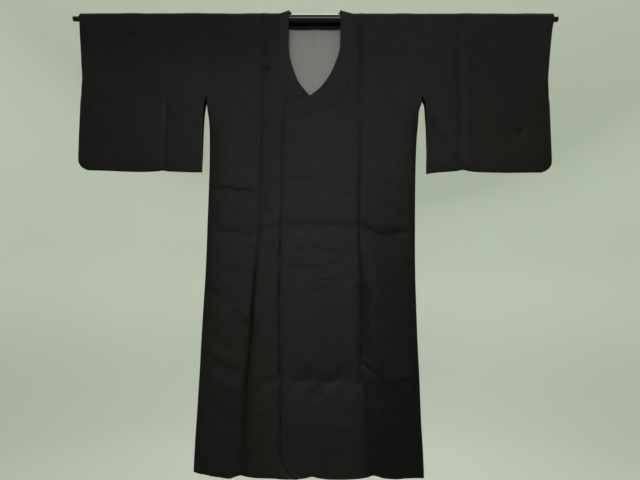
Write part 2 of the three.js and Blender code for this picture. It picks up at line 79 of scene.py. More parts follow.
ROD_HALF_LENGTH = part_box("rod")[1].x / MM
ROD_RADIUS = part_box("rod")[1].z / MM
TENON = {"radius": 7.5, "length": 20}
COAT_SHIFT = (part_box("right_body")[1].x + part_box("left_body")[0].x) / (2 * MM)

WRAP_RADIUS = 14.1  # the middle of the cloth where it passes over the rod
QUARTER = WRAP_RADIUS * math.pi / 2
SEAM = 0.08
LENGTH = 1237
ARMHOLE = 228
SIDE_SEAM = {"offset": 1.15, "width": 62, "shut": 365}
OVERLAP = {"lift": 3.8, "flat_from": 40, "clear_of_seam": 8, "start_drop": 110, "full_drop": 220}
HEM_CORNER = {"across": 64, "down": 67}
COLLAR_END_DROP = 300
REGULAR_RUN = QUARTER + 420
YOKE = {"drop": 380, "half_width": 150, "clear_of_rod": 16}
HEM_STARTS = 0.72 * LENGTH  # from here down the rows turn to follow the hem's line

# The body at each drop: side seams, seams between body and front panels and the free front edges,
# as distances from the middle line, and half its depth from front to back.
SECTIONS = table(
    "drop side_right side_left seam_right seam_left edge depth",
    (0, 295.5, 299.2, 145, 132, 79, 14.1),
    (120, 295.5, 299.2, 142, 134, 79, 14.1),
    (228, 295.5, 299.2, 141.5, 132, 79, 13.6),
    (250, 294.5, 297.6, 141.5, 132, 79, 13.5),
    (275, 291.4, 290, 141.7, 132, 79, 13.4),
    (310, 286, 287.8, 142, 132.5, 79.5, 13.3),
    (350, 284.2, 284.4, 142.3, 133, 80, 13.2),
    (450, 281.3, 280.4, 144, 132.5, 80, 13),
    (590, 281, 278.2, 143, 131.5, 80, 13),
    (660, 280.6, 277.6, 144, 132.5, 80, 13),
    (730, 281.1, 278, 148, 137, 79.5, 13.2),
    (800, 282.8, 279.6, 151, 140.5, 79, 13.4),
    (900, 285, 282.6, 154.5, 141.5, 76, 13.8),
    (985, 286.2, 286.3, 161, 134.5, 72.5, 14.2),
    (1040, 287.5, 288.2, 163, 151.5, 70, 14.8),
    (1100, 288.9, 290, 164, 155.5, 67.5, 15.4),
    (1160, 290.6, 293.3, 166, 159.5, 66, 16),
    (1237, 291.5, 296, 168, 168.5, 65, 17),
)
NEAR_HEM = -3  # the section next above the hem's stitches
HEM = table(
    "x drop",
    (-292, 1232),
    (-273, 1234),
    (-258, 1235),
    (-242, 1238),
    (-222, 1240),
    (-196, 1243),
    (-186, 1240),
    (-170, 1236.5),
    (-152, 1238),
    (-120, 1240),
    (-88, 1240),
    (-60, 1241.5),
    (-38, 1241.5),
    (-18, 1239.5),
    (-6, 1236),
    (11, 1232),
    (30, 1235.5),
    (60, 1238),
    (90, 1238),
    (122, 1236.5),
    (140, 1234.5),
    (152, 1233),
    (166, 1230),
    (178, 1231),
    (194, 1234),
    (225, 1235),
    (252, 1232.5),
    (275, 1232.5),
    (296, 1235),
)

# Each sleeve at each drop: its armhole or free inner edge, its outer edge, and half its depth.
SLEEVES = table(
    "drop inner_right outer_right inner_left outer_left depth",
    (0, 295.8, 667.5, 299.5, 666, 14.1),
    (40, 295.8, 664.2, 299.5, 659.3, 14.1),
    (100, 295.8, 656.8, 299.5, 651.5, 14.1),
    (150, 295.8, 651.2, 299.5, 645.8, 14.1),
    (190, 295.8, 647, 299.5, 642.6, 13.9),
    (228, 295.8, 652, 299.5, 646.8, 13.7),
    (250, 301.5, 653, 308.5, 648.8, 13.3),
    (280, 304.6, 652.3, 310.3, 648.8, 12.6),
    (320, 305.3, 651.5, 312.4, 648.8, 11.4),
    (380, 304.5, 649.5, 312.9, 649, 8.6),
    (418, 303.8, 648, 311.5, 648.6, 6),
    (444, 303.2, 646, 310.5, 647, 3),
)
SLEEVE_NARROWEST = 4  # the row where a sleeve is narrowest
SLEEVE_BOTTOM = {"right": 444, "left": 440}
SLEEVE_FOLD = 4  # height of the turn at a sleeve's bottom
SLEEVE_LIFT_FROM = 0.7  # of a sleeve's drop: below it the bottom's lift grows
# How far a sleeve's bottom hangs above its nominal line, most at its standing fold
SLEEVE_LIFT = table(
    "x right left",
    (300, -2, -7),
    (330, -2.5, -2.5),
    (362, -1.5, 0.5),
    (394, -0.5, 3.5),
    (406, 1, 6),
    (412, 2, 6.5),
    (426, 0, 3.5),
    (445, -1.5, 1),
    (480, -2.5, 0),
    (530, -1.5, -0.5),
    (560, 0, 0),
    (620, 0.8, 1),
    (650, 0.8, 1.5),
)
SLEEVE_CORNER = 30
SLEEVE_UNDER = 12  # length of the cloth that turns under a sleeve
CUFF = {"shut_from": 190, "shut_by": 235, "offset": 1.6, "width": 40}

# The collar's two edges down the front. The right side runs on under the left front.
COLLAR_LEFT = table(
    "in_x in_drop out_x out_drop",
    (73, 18, 106, 18),
    (73, 84, 105.9, 88),
    (69.2, 108, 105.5, 120),
    (62, 131, 104, 150),
    (49.3, 163, 101, 175),
    (32, 193, 96, 198),
    (16.5, 212, 86, 222),
    (2.5, 224, 69, 247),
    (-11, 233, 42, 267),
    (-37, 242, 5, 281),
    (-60, 248, -36, 291),
    (-76, 262, -79, 300),
)
COLLAR_RIGHT = table(
    "in_x in_drop out_x out_drop",
    (-71.5, 18, -97, 18),
    (-70.6, 84, -95, 88),
    (-68.3, 112, -94.5, 120),
    (-63, 133, -93.5, 150),
    (-53.8, 162, -92, 175),
    (-42, 190, -90, 198),
    (-29.5, 208, -86, 222),
    (-18, 222, -75, 243),
    (-7, 233, -48, 263),
    (15, 243, -12, 278),
    (46, 250, 32, 290),
    (76, 262, 79, 300),
)
COLLARS = {"right": COLLAR_RIGHT, "left": COLLAR_LEFT}

# The collar over the rod and round the back. Spans are shares of the neck's half width, a run over
# the front of the rod is negative, and in_y, in_z place the standing edge.
NECKLINE = table(
    "out_span run in_span in_y in_z",
    (1, -QUARTER, 1, -14.6, -1),
    (1, -2 * QUARTER / 3, 1, -13.4, 12.5),
    (1, -QUARTER / 3, 0.995, -7.5, 21.5),
    (1, 0, 0.985, 0, 25),
    (0.99, QUARTER / 3, 0.96, 6.5, 24.6),
    (0.975, 2 * QUARTER / 3, 0.9, 11.8, 22.5),
    (0.95, QUARTER, 0.8, 14.6, 20),
    (0.88, QUARTER + 15, 0.64, 15, 17.5),
    (0.73, QUARTER + 25, 0.42, 15, 15.3),
    (0.45, QUARTER + 27, 0.21, 15, 14),
    (0, QUARTER + 26, 0, 15, 13.5),
)
NECK_RIDGE = 3  # the neckline's row on the shoulder ridge
NECK_SHARE = 0.72  # of the back's columns, those that start at the neck

# The largest folds, each along the line from (x, drop) to (to_x, to_drop): a ridge where its height
# is positive and a trough where it is negative, spread this wide to each side.
Fold = namedtuple("Fold", "x drop to_x to_drop width height")
FRONT_FOLDS = (
    Fold(-160, 860, -168, 1240, 17, -5),
    Fold(139, 760, 142, 925, 15, -4),
    Fold(158, 1095, 168, 1240, 17, -5),
    Fold(152, 604, 268, 604, 15, -1.8),
    Fold(-75, 590, 125, 592, 14, -1.4),
    Fold(-275, 606, -141, 612, 14, -1.6),
)
BACK_FOLDS = (
    Fold(-150, 760, -172, 1240, 22, -4.5),
    Fold(138, 690, 160, 1240, 22, -4.5),
    Fold(-80, 980, -84, 1240, 26, 3),
    Fold(76, 900, 82, 1240, 26, 3),
    Fold(-270, 600, 265, 606, 14, -2),
)
SLEEVE_FOLDS = {
    "right": (Fold(418, 250, 418, 443, 5, 1), Fold(409, 250, 409, 443, 9, -1.2)),
    "left": (Fold(404, 10, 404, 439, 12, -0.8), Fold(416, 10, 416, 439, 7, 0.8)),
}

# ---------------------------------------------------------------------------------------------
# Creases
# ---------------------------------------------------------------------------------------------

# A crease follows a path of (x, drop) points. "over" is its spread above the path, or on the side
# of greater x where it runs down, and "under" is its spread on the other side. It stands out by its
# height, or in where that is negative. Its power is 2 where it is soft and 1 where it is pressed in.
Crease = namedtuple("Crease", "path over under height power", defaults=(1.6,))
CREASE_END = {"height": 0.35, "length": 0.2}  # shares of its height left there, and of its length
CREASE_WAVE = {"share": 0.2, "length": 12}  # a crease's height goes up and down along it
CALM_EDGE = {"body": 12, "sleeve": 10}  # creases fade this close to a side

FRONT_CREASES = (
    # across the right side of the front
    Crease(((-275, 497), (-228, 493), (-200, 502), (-150, 500)), 5, 15, -3.8),
    Crease(((-276, 614), (-235, 611), (-190, 616), (-141, 626)), 4.5, 15, -2.1),
    Crease(((-272, 634), (-240, 637), (-212, 636)), 5, 15, -1.2),
    Crease(((-270, 775), (-232, 771), (-196, 770)), 9, 18, -1.7),
    Crease(((-282, 1002), (-230, 1010), (-176, 1022)), 18, 26, 2),
    Crease(((-276, 866), (-240, 900), (-204, 925)), 14, 18, -2.1),
    Crease(((-280, 930), (-242, 958), (-198, 978)), 12, 21, -2),
    Crease(((-268, 1060), (-230, 1074), (-184, 1108)), 18, 24, -1.8),
    Crease(((-138, 151), (-123, 155)), 9, 14, -5),
    # between the right seam and the lapped edge
    Crease(((-138, 472), (-112, 470), (-86, 468)), 6, 15, -1.2),
    Crease(((-137, 612), (-112, 604), (-86, 594)), 6, 18, -1.7),
    Crease(((-134, 553), (-127, 558)), 8, 20, -2),
    Crease(((-136, 646), (-110, 650)), 7, 18, -1),
    Crease(((-118, 1004), (-92, 998)), 9, 18, -1.4),
    # across the lapped left front
    Crease(((-60, 474), (-32, 471), (22, 464)), 5, 15, -1.7),
    Crease(((-77, 589), (-50, 593), (24, 593), (82, 597), (126, 594)), 8, 26, -1.7),
    Crease(((-74, 994), (-8, 998), (60, 998), (124, 992)), 30, 34, -6, 1.1),
    Crease(((121, 990), (129, 1008), (139, 1045), (146, 1090)), 12, 14, -1.8),
    Crease(((92, 1056), (95, 1140), (93, 1232)), 5, 4, -0.7),
    Crease(((-40, 662), (10, 655), (52, 660)), 7, 18, -0.9),
    Crease(((-52, 705), (-12, 711), (40, 708)), 6, 20, -1.2),
    Crease(((8, 742), (60, 738), (96, 744)), 7, 15, -0.9),
    Crease(((-58, 768), (-22, 764), (18, 770)), 6, 18, -1),
    # across the left side of the front
    Crease(((134, 583), (147, 592), (161, 604)), 6, 15, -2.5),
    Crease(((158, 606), (176, 614), (210, 618), (238, 611), (270, 612)), 9, 24, -6.5),
    Crease(((148, 640), (176, 643), (202, 641)), 6, 15, -1.3),
    Crease(((222, 697), (250, 694), (274, 692)), 9, 14, -3),
    Crease(((222, 710), (268, 713)), 5, 12, -1),
    Crease(((226, 736), (266, 733)), 5, 12, -0.9),
    Crease(((230, 761), (268, 757)), 5, 12, -0.9),
    Crease(((135, 946), (156, 966), (182, 990)), 4, 9, -4.4),
    Crease(((170, 986), (235, 987), (281, 978)), 36, 17, 8.6, 1.1),
    Crease(((203, 1000), (240, 1022), (262, 1060)), 14, 18, 1.1),
    Crease(((176, 1020), (200, 1062), (205, 1105)), 16, 16, -1.1),
    Crease(((196, 470), (236, 476), (264, 472)), 7, 18, -0.9),
)
BACK_CREASES = (
    Crease(((-268, 488), (-200, 493), (-120, 487), (-60, 491)), 5, 15, -1.8),
    Crease(((42, 492), (110, 487), (180, 494), (262, 489)), 5, 12, -1.7),
    Crease(((-272, 604), (-190, 611), (-96, 606), (-24, 609)), 6, 15, -2.3),
    Crease(((20, 607), (120, 602), (200, 609), (268, 604)), 6, 12, -2.3),
    Crease(((-262, 771), (-180, 776), (-104, 770)), 7, 18, -1.4),
    Crease(((60, 740), (132, 747), (210, 741)), 7, 20, -1.4),
    Crease(((-274, 984), (-180, 990), (-60, 986), (-10, 989)), 24, 18, -2.5),
    Crease(((12, 988), (90, 985), (190, 991), (276, 984)), 24, 18, -2.5),
    Crease(((-252, 872), (-214, 908), (-176, 924)), 13, 18, -1.8),
    Crease(((186, 860), (222, 900), (256, 918)), 13, 18, -1.8),
    Crease(((-118, 664), (-66, 660)), 7, 18, -1),
    Crease(((82, 690), (148, 694)), 6, 20, -1),
    Crease(((-40, 1062), (-16, 1110), (-14, 1190)), 14, 12, -0.9),
    Crease(((-8, 330), (6, 420), (2, 560)), 9, 9, 0.6),
)
SLEEVE_CREASES = {
    ("right", FRONT): (
        Crease(((410, 246), (408, 310), (409, 372), (410, 440)), 4, 9, -0.8),
        Crease(((419, 250), (417, 315), (417, 376), (418, 440)), 3, 3, 0.5),
        Crease(((621, 60), (620, 190), (621, 330), (619, 420)), 3, 3, -0.5),
        Crease(((520, 196), (556, 214), (590, 218)), 24, 20, 1.8),
        Crease(((540, 262), (590, 250), (618, 262)), 14, 21, -1.7),
        Crease(((318, 258), (336, 300), (350, 352)), 12, 12, -1.1),
        Crease(((470, 62), (520, 58), (566, 66)), 10, 18, -1.4),
        Crease(((330, 120), (382, 128), (430, 122)), 14, 21, -1.2),
        Crease(((440, 402), (500, 410), (560, 404)), 21, 12, 1.2),
    ),
    ("right", BACK): (
        Crease(((398, 150), (401, 260), (399, 440)), 6, 6, -1.6),
        Crease(((408, 180), (410, 300), (409, 440)), 5, 5, 1.2),
        Crease(((621, 60), (620, 190), (621, 330), (619, 420)), 3, 3, -0.5),
        Crease(((480, 236), (540, 230), (600, 240)), 9, 14, -1.7),
        Crease(((310, 230), (340, 290), (356, 356)), 12, 12, -1.3),
    ),
    ("left", FRONT): (
        Crease(((411, 8), (410, 120), (410, 250), (411, 350), (411, 436)), 5, 19, -2.6, 1.2),
        Crease(((418, 8), (417, 100), (417, 190), (416, 290), (417, 360), (417, 436)), 20, 4, 0.8),
        Crease(((621, 60), (619, 190), (620, 330), (618, 420)), 3, 3, -0.5),
        Crease(((306, 262), (328, 280), (344, 318), (376, 356)), 9, 16, -3.6),
        Crease(((318, 340), (358, 362), (396, 366)), 12, 20, -2.2),
        Crease(((356, 104), (372, 106)), 8, 14, -5),
        Crease(((556, 331), (576, 328)), 6, 12, -5),
        Crease(((520, 318), (590, 322), (624, 332)), 14, 27, -1.5),
        Crease(((430, 380), (500, 388), (580, 384)), 24, 14, 1.2),
        Crease(((450, 130), (520, 136), (570, 130)), 16, 21, -1),
    ),
    ("left", BACK): (
        Crease(((402, 60), (400, 200), (402, 440)), 6, 6, -1.6),
        Crease(((412, 60), (410, 220), (412, 440)), 5, 5, 1.2),
        Crease(((621, 60), (619, 190), (620, 330), (618, 420)), 3, 3, -0.5),
        Crease(((440, 300), (520, 306), (590, 300)), 10, 15, -1.7),
        Crease(((308, 250), (330, 300), (372, 340)), 12, 11, -1.3),
    ),
}
LINING_CREASES = (
    Crease(((-4, 20), (-3, 120), (-5, 240)), 5, 7, -0.5),
    Crease(((-34, 40), (-26, 110), (-30, 190)), 9, 9, 0.5),
    Crease(((30, 60), (36, 130), (28, 220)), 9, 9, 0.5),
    Crease(((-60, 48), (0, 52), (62, 46)), 6, 20, -0.5),
)
# The valleys of the cloth along the seams between body and front panels: how deep at each drop, and
# how far each spreads towards the middle line and away from it.
SEAM_DIPS = {
    "right": table(
        "drop depth inward outward",
        (0, 0.3, 6, 6),
        (22, 2.4, 8, 8),
        (120, 2, 7, 8),
        (240, 1.2, 5, 5),
        (350, 1.7, 6, 8),
        (400, 2.2, 6, 8),
        (560, 2, 6, 7),
        (640, 2, 4.5, 5.5),
        (700, 3, 4, 5),
        (760, 4.8, 3.2, 4.5),
        (830, 6.4, 3, 4.2),
        (930, 5.8, 3, 4.5),
        (1000, 5, 3.5, 5.5),
        (1090, 4.8, 4.5, 6.5),
        (1160, 3.8, 5, 7),
        (1237, 2.4, 6, 8),
    ),
    "left": table(
        "drop depth inward outward",
        (0, 0.3, 6, 8),
        (22, 3, 8, 11),
        (110, 2.8, 8, 10),
        (240, 1.6, 8, 14),
        (350, 2.8, 8, 22),
        (480, 3.8, 8, 26),
        (560, 3.8, 7, 24),
        (640, 4.2, 5, 16),
        (710, 6, 4, 12),
        (800, 5.4, 5, 12),
        (930, 4.6, 6, 14),
        (985, 2.4, 6, 12),
        (1040, 5, 6, 14),
        (1160, 4.4, 7, 16),
        (1237, 3.6, 8, 16),
    ),
}
SEAM_DIP_POWER = 1.4  # 2 would make the valleys round and 1 sharp
BACK_SEAM_DIP = {"depth": 0.7, "spread": 5}
# The under layer beside the lapped edge: a groove, and a soft hollow next to it lower down. Each
# grows between the two drops named last.
LAP_DIP = {"outside": 0.8, "depth": 2.7, "spread": 3, "grows": (230, COLLAR_END_DROP)}
LAP_DEEPER = {"depth": 1.2, "grows": (560, 760)}
LAP_HOLLOW = {"outside": 8, "depth": 3, "spread": 14, "grows": (760, 1000)}
# The lap's own edge: a low rim, and the line of its stitches
LAP_RIM = {"inside": 3.5, "height": 1.3, "spread": 3, "grows": (240, COLLAR_END_DROP)}
EDGE_LINE = {"inset": 10, "width": 2, "depth": 0.5}
HEM_LINE = {"drop": 1131, "width": 2.2, "depth": 0.45}
RIDGE_LUMPS = {"height": 0.45, "reach": 16}
RIDGE_SEAMS = {"places": (-141, 133), "height": 1.2, "width": 7}

# Sheets' grids and rims
CELL_WIDTH = {"body": 1.4, "panel": 1.3, "sleeve": 1.25, "lining": 1.5}  # as shares of its height
FINE_CELL = {"width": 1.2, "growth": 0.3}  # at an edge, and for each step away from it
RIM_STEPS = 2
RIM_SHARE = {"cloth": 0.14, "collar": 0.18, "lining": 0.3}  # a rim's rounding, of the thickness
SHEET_TURN = math.radians(60)
COLLAR_PROUD = 0.05
COLLAR_LAP = 1.03  # how far the collar reaches over the edges sewn under it, as a share of its width
COLLAR_CROWN = {"height": 0.2, "power": 0.6}
COLLAR_CLOTH = 34  # width of the collar on its UV map
LINING_RIPPLE = {"hollow": 0.8, "ridge": -0.2}  # how much of a crease shows, always forwards

# Sewing
STITCH = {"length": 1.7, "width": 0.5, "pitch": 9.5, "uneven": 0.12, "beat": 1.7}
CUFF_STITCH_INSET = 18
PANEL_STITCH_INSET = 9
HEM_STITCH_CLEAR = {"side": 8, "under": 6, "lap": 12, "seam": 2}

ROD_SIDES = 72
ROD_BEVEL = 1.2
ROOM_SIDES = 96
CAMERA = {
    "place": (0.0609, -1.3371, -0.7827),  # metres
    "pitch": 6.5,  # degrees, as the two below
    "roll": -0.805,
    "yaw": 1.364,
    "lens": 28.125,
}


def crinkles(seed, count, x_range, drop_range, length_range, spread, height):
    """Short shallow creases that run roughly across the cloth, in uneven places and sizes."""
    draw = random.Random(seed)
    made = []
    for _ in range(count):
        length = draw.uniform(*length_range)
        x = draw.uniform(x_range[0], x_range[1] - length)
        drop = draw.uniform(*drop_range)
        middle = drop + draw.uniform(-0.06, 0.06) * length
        end = drop + draw.uniform(-0.1, 0.1) * length
        wide = spread * draw.uniform(0.7, 1.4)
        deep = height * draw.uniform(0.5, 1.2) * draw.choice((-1, -1, 1))
        path = ((x, drop), (x + length / 2, middle), (x + length, end))
        made.append(Crease(path, wide * (2 if deep > 0 else 1), wide * (1 if deep > 0 else 2), deep))
    return tuple(made)


FRONT_CRINKLES = (
    *crinkles(11, 34, (-72, 124), (620, 815), (18, 60), 4.5, 0.65),
    *crinkles(12, 26, (-272, -150), (440, 980), (18, 60), 6, 0.8),
    *crinkles(13, 30, (145, 272), (400, 980), (18, 60), 6, 0.8),
    *crinkles(14, 26, (-72, 150), (250, 600), (20, 80), 6, 0.6),
    *crinkles(15, 18, (-60, 130), (1020, 1215), (20, 70), 6, 0.6),
    *crinkles(16, 20, (-280, -100), (1020, 1215), (20, 70), 7, 0.7),
    *crinkles(17, 16, (-282, 270), (40, 240), (25, 80), 7, 0.5),
)
BACK_CRINKLES = (
    *crinkles(21, 60, (-270, 265), (420, 980), (20, 80), 6, 0.5),
    *crinkles(22, 26, (-275, 275), (1010, 1215), (20, 80), 8, 0.5),
    *crinkles(23, 20, (-280, 275), (60, 400), (25, 90), 8, 0.35),
)
SLEEVE_CRINKLES = {
    (hand, face): crinkles(30 + seed, 26, (300, 630), (30, 430), (20, 80), 8, 0.4)
    for seed, (hand, face) in enumerate(SLEEVE_CREASES)
}


# ---------------------------------------------------------------------------------------------
# Reading the tables
# ---------------------------------------------------------------------------------------------


def smoothstep(value, low, high):
    share = np.clip((value - low) / (high - low), 0, 1)
    return share * share * (3 - 2 * share)


def part(value):
    return smoothstep(value, 0, 1)


def rounded(value):
    """0 at an edge and 1 inside it, along a quarter of an ellipse."""
    return np.sqrt(1 - (1 - np.clip(value, 0, 1)) ** 2)


def lerp(start, end, share):
    return start + (end - start) * share


def curve(keys, values, at):
    """Values at places along their keys, on a smooth curve that never passes beyond them."""
    at = np.clip(at, keys[0], keys[-1])
    i = np.clip(np.searchsorted(keys, at, side="right") - 1, 0, len(keys) - 2)
    steps = np.diff(keys)
    rises = np.diff(values) / steps
    before, after = rises[:-1], rises[1:]
    total = np.where(before * after > 0, before + after, 1)
    slopes = np.zeros(len(keys))
    slopes[1:-1] = np.where(before * after > 0, 2 * before * after / total, 0)
    t = (at - keys[i]) / steps[i]
    ends = (1 + 2 * t) * (1 - t) ** 2 * values[i] + t * t * (3 - 2 * t) * values[i + 1]
    bend = t * (1 - t) ** 2 * slopes[i] + t * t * (t - 1) * slopes[i + 1]
    return ends + bend * steps[i]


def read(rows, name, at, key="drop"):
    return curve(rows[key], rows[name], at)


def fold_height(folds, x, drop):
    """How far the largest folds push the cloth out."""
    height = np.zeros(x.shape)
    for fold in folds:
        along = np.array((fold.to_x - fold.x, fold.to_drop - fold.drop), float)
        share = ((x - fold.x) * along[0] + (drop - fold.drop) * along[1]) / (along @ along)
        nearest = np.clip(share, 0, 1)
        away_x = x - fold.x - nearest * along[0]
        away_drop = drop - fold.drop - nearest * along[1]
        height += fold.height * np.exp(-(away_x**2 + away_drop**2) / fold.width**2)
    return height


def wander(x, drop):
    """Small smooth shifts that keep a crease from being straight."""
    return (
        x + 1.3 * np.sin(drop / 23 + 0.4) + 0.8 * np.sin(drop / 9.1 + x / 50),
        drop + 1.2 * np.sin(x / 17 + 1.1) + 0.7 * np.sin(x / 7.3 + drop / 60),
    )


def one_crease(crease, x, drop):
    """The height of one crease, which fades towards its ends."""
    path = np.array(crease.path, float)
    spans = np.diff(path, axis=0)
    lengths = np.hypot(*spans.T)
    nearest = np.full(x.shape, np.inf)
    side = np.zeros(x.shape)
    share = np.zeros(x.shape)
    passed = 0
    for start, span, length in zip(path, spans, lengths):
        t = np.clip(((x - start[0]) * span[0] + (drop - start[1]) * span[1]) / length**2, 0, 1)
        away_x = x - start[0] - t * span[0]
        away_drop = drop - start[1] - t * span[1]
        distance = np.hypot(away_x, away_drop)
        closer = distance < nearest
        turned = (span[0] * away_drop - span[1] * away_x) / (length * np.maximum(distance, 1e-6))
        nearest = np.where(closer, distance, nearest)
        side = np.where(closer, turned, side)
        share = np.where(closer, (passed + t * length) / lengths.sum(), share)
        passed += length
    spread = lerp(crease.over, crease.under, part((side + 1) / 2))
    inside = smoothstep(np.minimum(share, 1 - share), 0, CREASE_END["length"])
    wave = np.sin((x + drop) / CREASE_WAVE["length"] + path[0][0])
    fade = lerp(CREASE_END["height"], 1, inside) * (1 + CREASE_WAVE["share"] * (wave - 1))
    return crease.height * fade * np.exp(-((nearest / spread) ** crease.power))


def crease_height(creases, x, drop):
    """How far a set of creases pushes the cloth out."""
    x, drop = wander(x, drop)
    height = np.zeros(x.shape)
    for crease in creases:
        reach = 3 * max(crease.over, crease.under)
        low = np.min(crease.path, axis=0) - reach
        high = np.max(crease.path, axis=0) + reach
        near = (x > low[0]) & (x < high[0]) & (drop > low[1]) & (drop < high[1])
        height[near] += one_crease(crease, x[near], drop[near])
    return height


# ---------------------------------------------------------------------------------------------
# Where the cloth hangs
# ---------------------------------------------------------------------------------------------


def hanging_drop(x, drop):
    """Near the hem the rows follow its line."""
    return drop + (read(HEM, "drop", x, "x") - LENGTH) * smoothstep(drop, HEM_STARTS, LENGTH)


def dent(away, depth, spread):
    return -depth * np.exp(-((away / spread) ** 2))


def hem_line(drop):
    """The hem's line of stitches, a thin dent in the cloth."""
    return dent(drop - HEM_LINE["drop"], HEM_LINE["depth"], HEM_LINE["width"])


def seam_dip(face, x, drop):
    """The valleys along the seams: those of the front panels, or that of the middle of the back."""
    if face == BACK:
        return dent(x, BACK_SEAM_DIP["depth"], BACK_SEAM_DIP["spread"])
    dip = 0
    for hand, side in SIDES.items():
        rows = SEAM_DIPS[hand]
        away = side * x - read(SECTIONS, "seam_" + hand, drop)
        spread = np.where(away < 0, read(rows, "inward", drop), read(rows, "outward", drop))
        dip = dip - read(rows, "depth", drop) * np.exp(-((abs(away) / spread) ** SEAM_DIP_POWER))
    return dip


def body_depth(face, x, drop):
    """Half the body's depth, open above the side slits and drawn to the side seams below them."""
    folds, creases = (
        (FRONT_FOLDS, FRONT_CREASES + FRONT_CRINKLES)
        if face == FRONT
        else (BACK_FOLDS, BACK_CREASES + BACK_CRINKLES)
    )
    open_depth = read(SECTIONS, "depth", drop)
    side = np.where(x > 0, read(SECTIONS, "side_left", drop), read(SECTIONS, "side_right", drop))
    inset = (side - abs(x)) / SIDE_SEAM["width"]
    closed = lerp(SIDE_SEAM["offset"], open_depth, rounded(inset))
    shut = smoothstep(drop, ARMHOLE, SIDE_SEAM["shut"])
    small = crease_height(creases, x, drop) + hem_line(drop) + seam_dip(face, x, drop)
    near_edge = part((side - abs(x)) / CALM_EDGE["body"])
    return (
        lerp(open_depth, closed, shut)
        + fold_height(folds, x, drop) * part(inset)
        + small * near_edge
    )


def front_depth(x, drop):
    return body_depth(FRONT, x, drop)


def back_depth(x, drop):
    return body_depth(BACK, x, drop)


def under_depth(x, drop):
    """The right front dips beside the edge that laps over it."""
    away = x + free_edge(drop)
    depth = LAP_DIP["depth"] + LAP_DEEPER["depth"] * smoothstep(drop, *LAP_DEEPER["grows"])
    groove = dent(away + LAP_DIP["outside"], depth, LAP_DIP["spread"])
    hollow = dent(away + LAP_HOLLOW["outside"], LAP_HOLLOW["depth"], LAP_HOLLOW["spread"])
    groove *= smoothstep(drop, *LAP_DIP["grows"])
    hollow *= smoothstep(drop, *LAP_HOLLOW["grows"])
    return front_depth(x, drop) + groove + hollow


def lap_depth(x, drop):
    """The left front stands off the right front where it laps over it."""
    seam = read(SECTIONS, "seam_left", drop) - OVERLAP["clear_of_seam"]
    across = part((seam - x) / (seam - OVERLAP["flat_from"]))
    down = smoothstep(drop, OVERLAP["start_drop"], OVERLAP["full_drop"])
    inset = x + free_edge(drop)
    rim = dent(inset - EDGE_LINE["inset"], EDGE_LINE["depth"], EDGE_LINE["width"])
    rim -= dent(inset - LAP_RIM["inside"], LAP_RIM["height"], LAP_RIM["spread"])
    rim *= smoothstep(drop, *LAP_RIM["grows"])
    return front_depth(x, drop) + OVERLAP["lift"] * across * down + rim


PANEL_DEPTH = {"right": under_depth, "left": lap_depth}


def ridge_lumps(x, run):
    """Small unevenness of the cloth where it lies over the rod."""
    wave = np.sin(x / 31) + 0.7 * np.sin(x / 13.7 + 2) + 0.5 * np.sin(x / 71 + 1)
    lumps = RIDGE_LUMPS["height"] * wave
    for at in RIDGE_SEAMS["places"]:
        lumps = lumps - dent(x - at, RIDGE_SEAMS["height"], RIDGE_SEAMS["width"])
    return lumps * np.exp(-((run / RIDGE_LUMPS["reach"]) ** 2))


def hang(face, x, run, depth_at, proud=0.0):
    """Places on hanging cloth, and the ways out of it."""
    drop = np.maximum(run - QUARTER, 0)
    turn = np.minimum(run, QUARTER) / WRAP_RADIUS
    flat = np.zeros(x.shape)
    out = np.stack([flat, face * np.sin(turn), np.cos(turn)], axis=-1)
    radius = WRAP_RADIUS + proud + ridge_lumps(x, run)
    over = np.stack([x, face * radius * np.sin(turn), radius * np.cos(turn)], axis=-1)
    depth = depth_at(x, drop) + proud
    down = np.stack([x, face * depth, -hanging_drop(x, drop)], axis=-1)
    return np.where((run < QUARTER)[..., None], over, down), out


def row_run(top_run, run):
    """The run of a row in a column whose top lies at top_run. Lower down all rows agree."""
    return np.where(run >= REGULAR_RUN, run, top_run + run * (REGULAR_RUN - top_run) / REGULAR_RUN)


def neck_half(hand):
    return abs(COLLARS[hand]["out_x"][0])


def stand_half(hand):
    return abs(COLLARS[hand]["in_x"][0])


def free_edge(drop):
    """The free front edge, with its rounded lower corner."""
    down = np.clip((drop - LENGTH + HEM_CORNER["down"]) / HEM_CORNER["down"], 0, 1)
    return read(SECTIONS, "edge", drop) - HEM_CORNER["across"] * (1 - np.sqrt(1 - down**2))


def graded(width, spacing, fine_start=False, fine_end=False):
    """Columns across a width, as shares of it, closer together near the ends that ask for it."""
    at = np.linspace(0, width, 900)
    step = np.full(at.shape, spacing, float)
    if fine_start:
        step = np.minimum(step, FINE_CELL["width"] + FINE_CELL["growth"] * at)
    if fine_end:
        step = np.minimum(step, FINE_CELL["width"] + FINE_CELL["growth"] * (width - at))
    passed = np.concatenate([[0], np.cumsum(np.diff(at) / step[1:])])
    return np.interp(np.linspace(0, passed[-1], round(passed[-1]) + 1), passed, at) / width


def even_steps(x, y, spacing):
    """Places along a line of points, about this far apart, as shares of the points' count."""
    travelled = np.concatenate([[0], np.cumsum(np.hypot(np.diff(x), np.diff(y)))])
    count = max(2, round(travelled[-1] / spacing))
    return np.interp(np.linspace(0, travelled[-1], count + 1), travelled, np.arange(len(x)))


# ---------------------------------------------------------------------------------------------
# Making sheets of cloth
# ---------------------------------------------------------------------------------------------

Sheet = namedtuple("Sheet", "columns rows shape")  # shape(column, row) gives places, ways out, UV


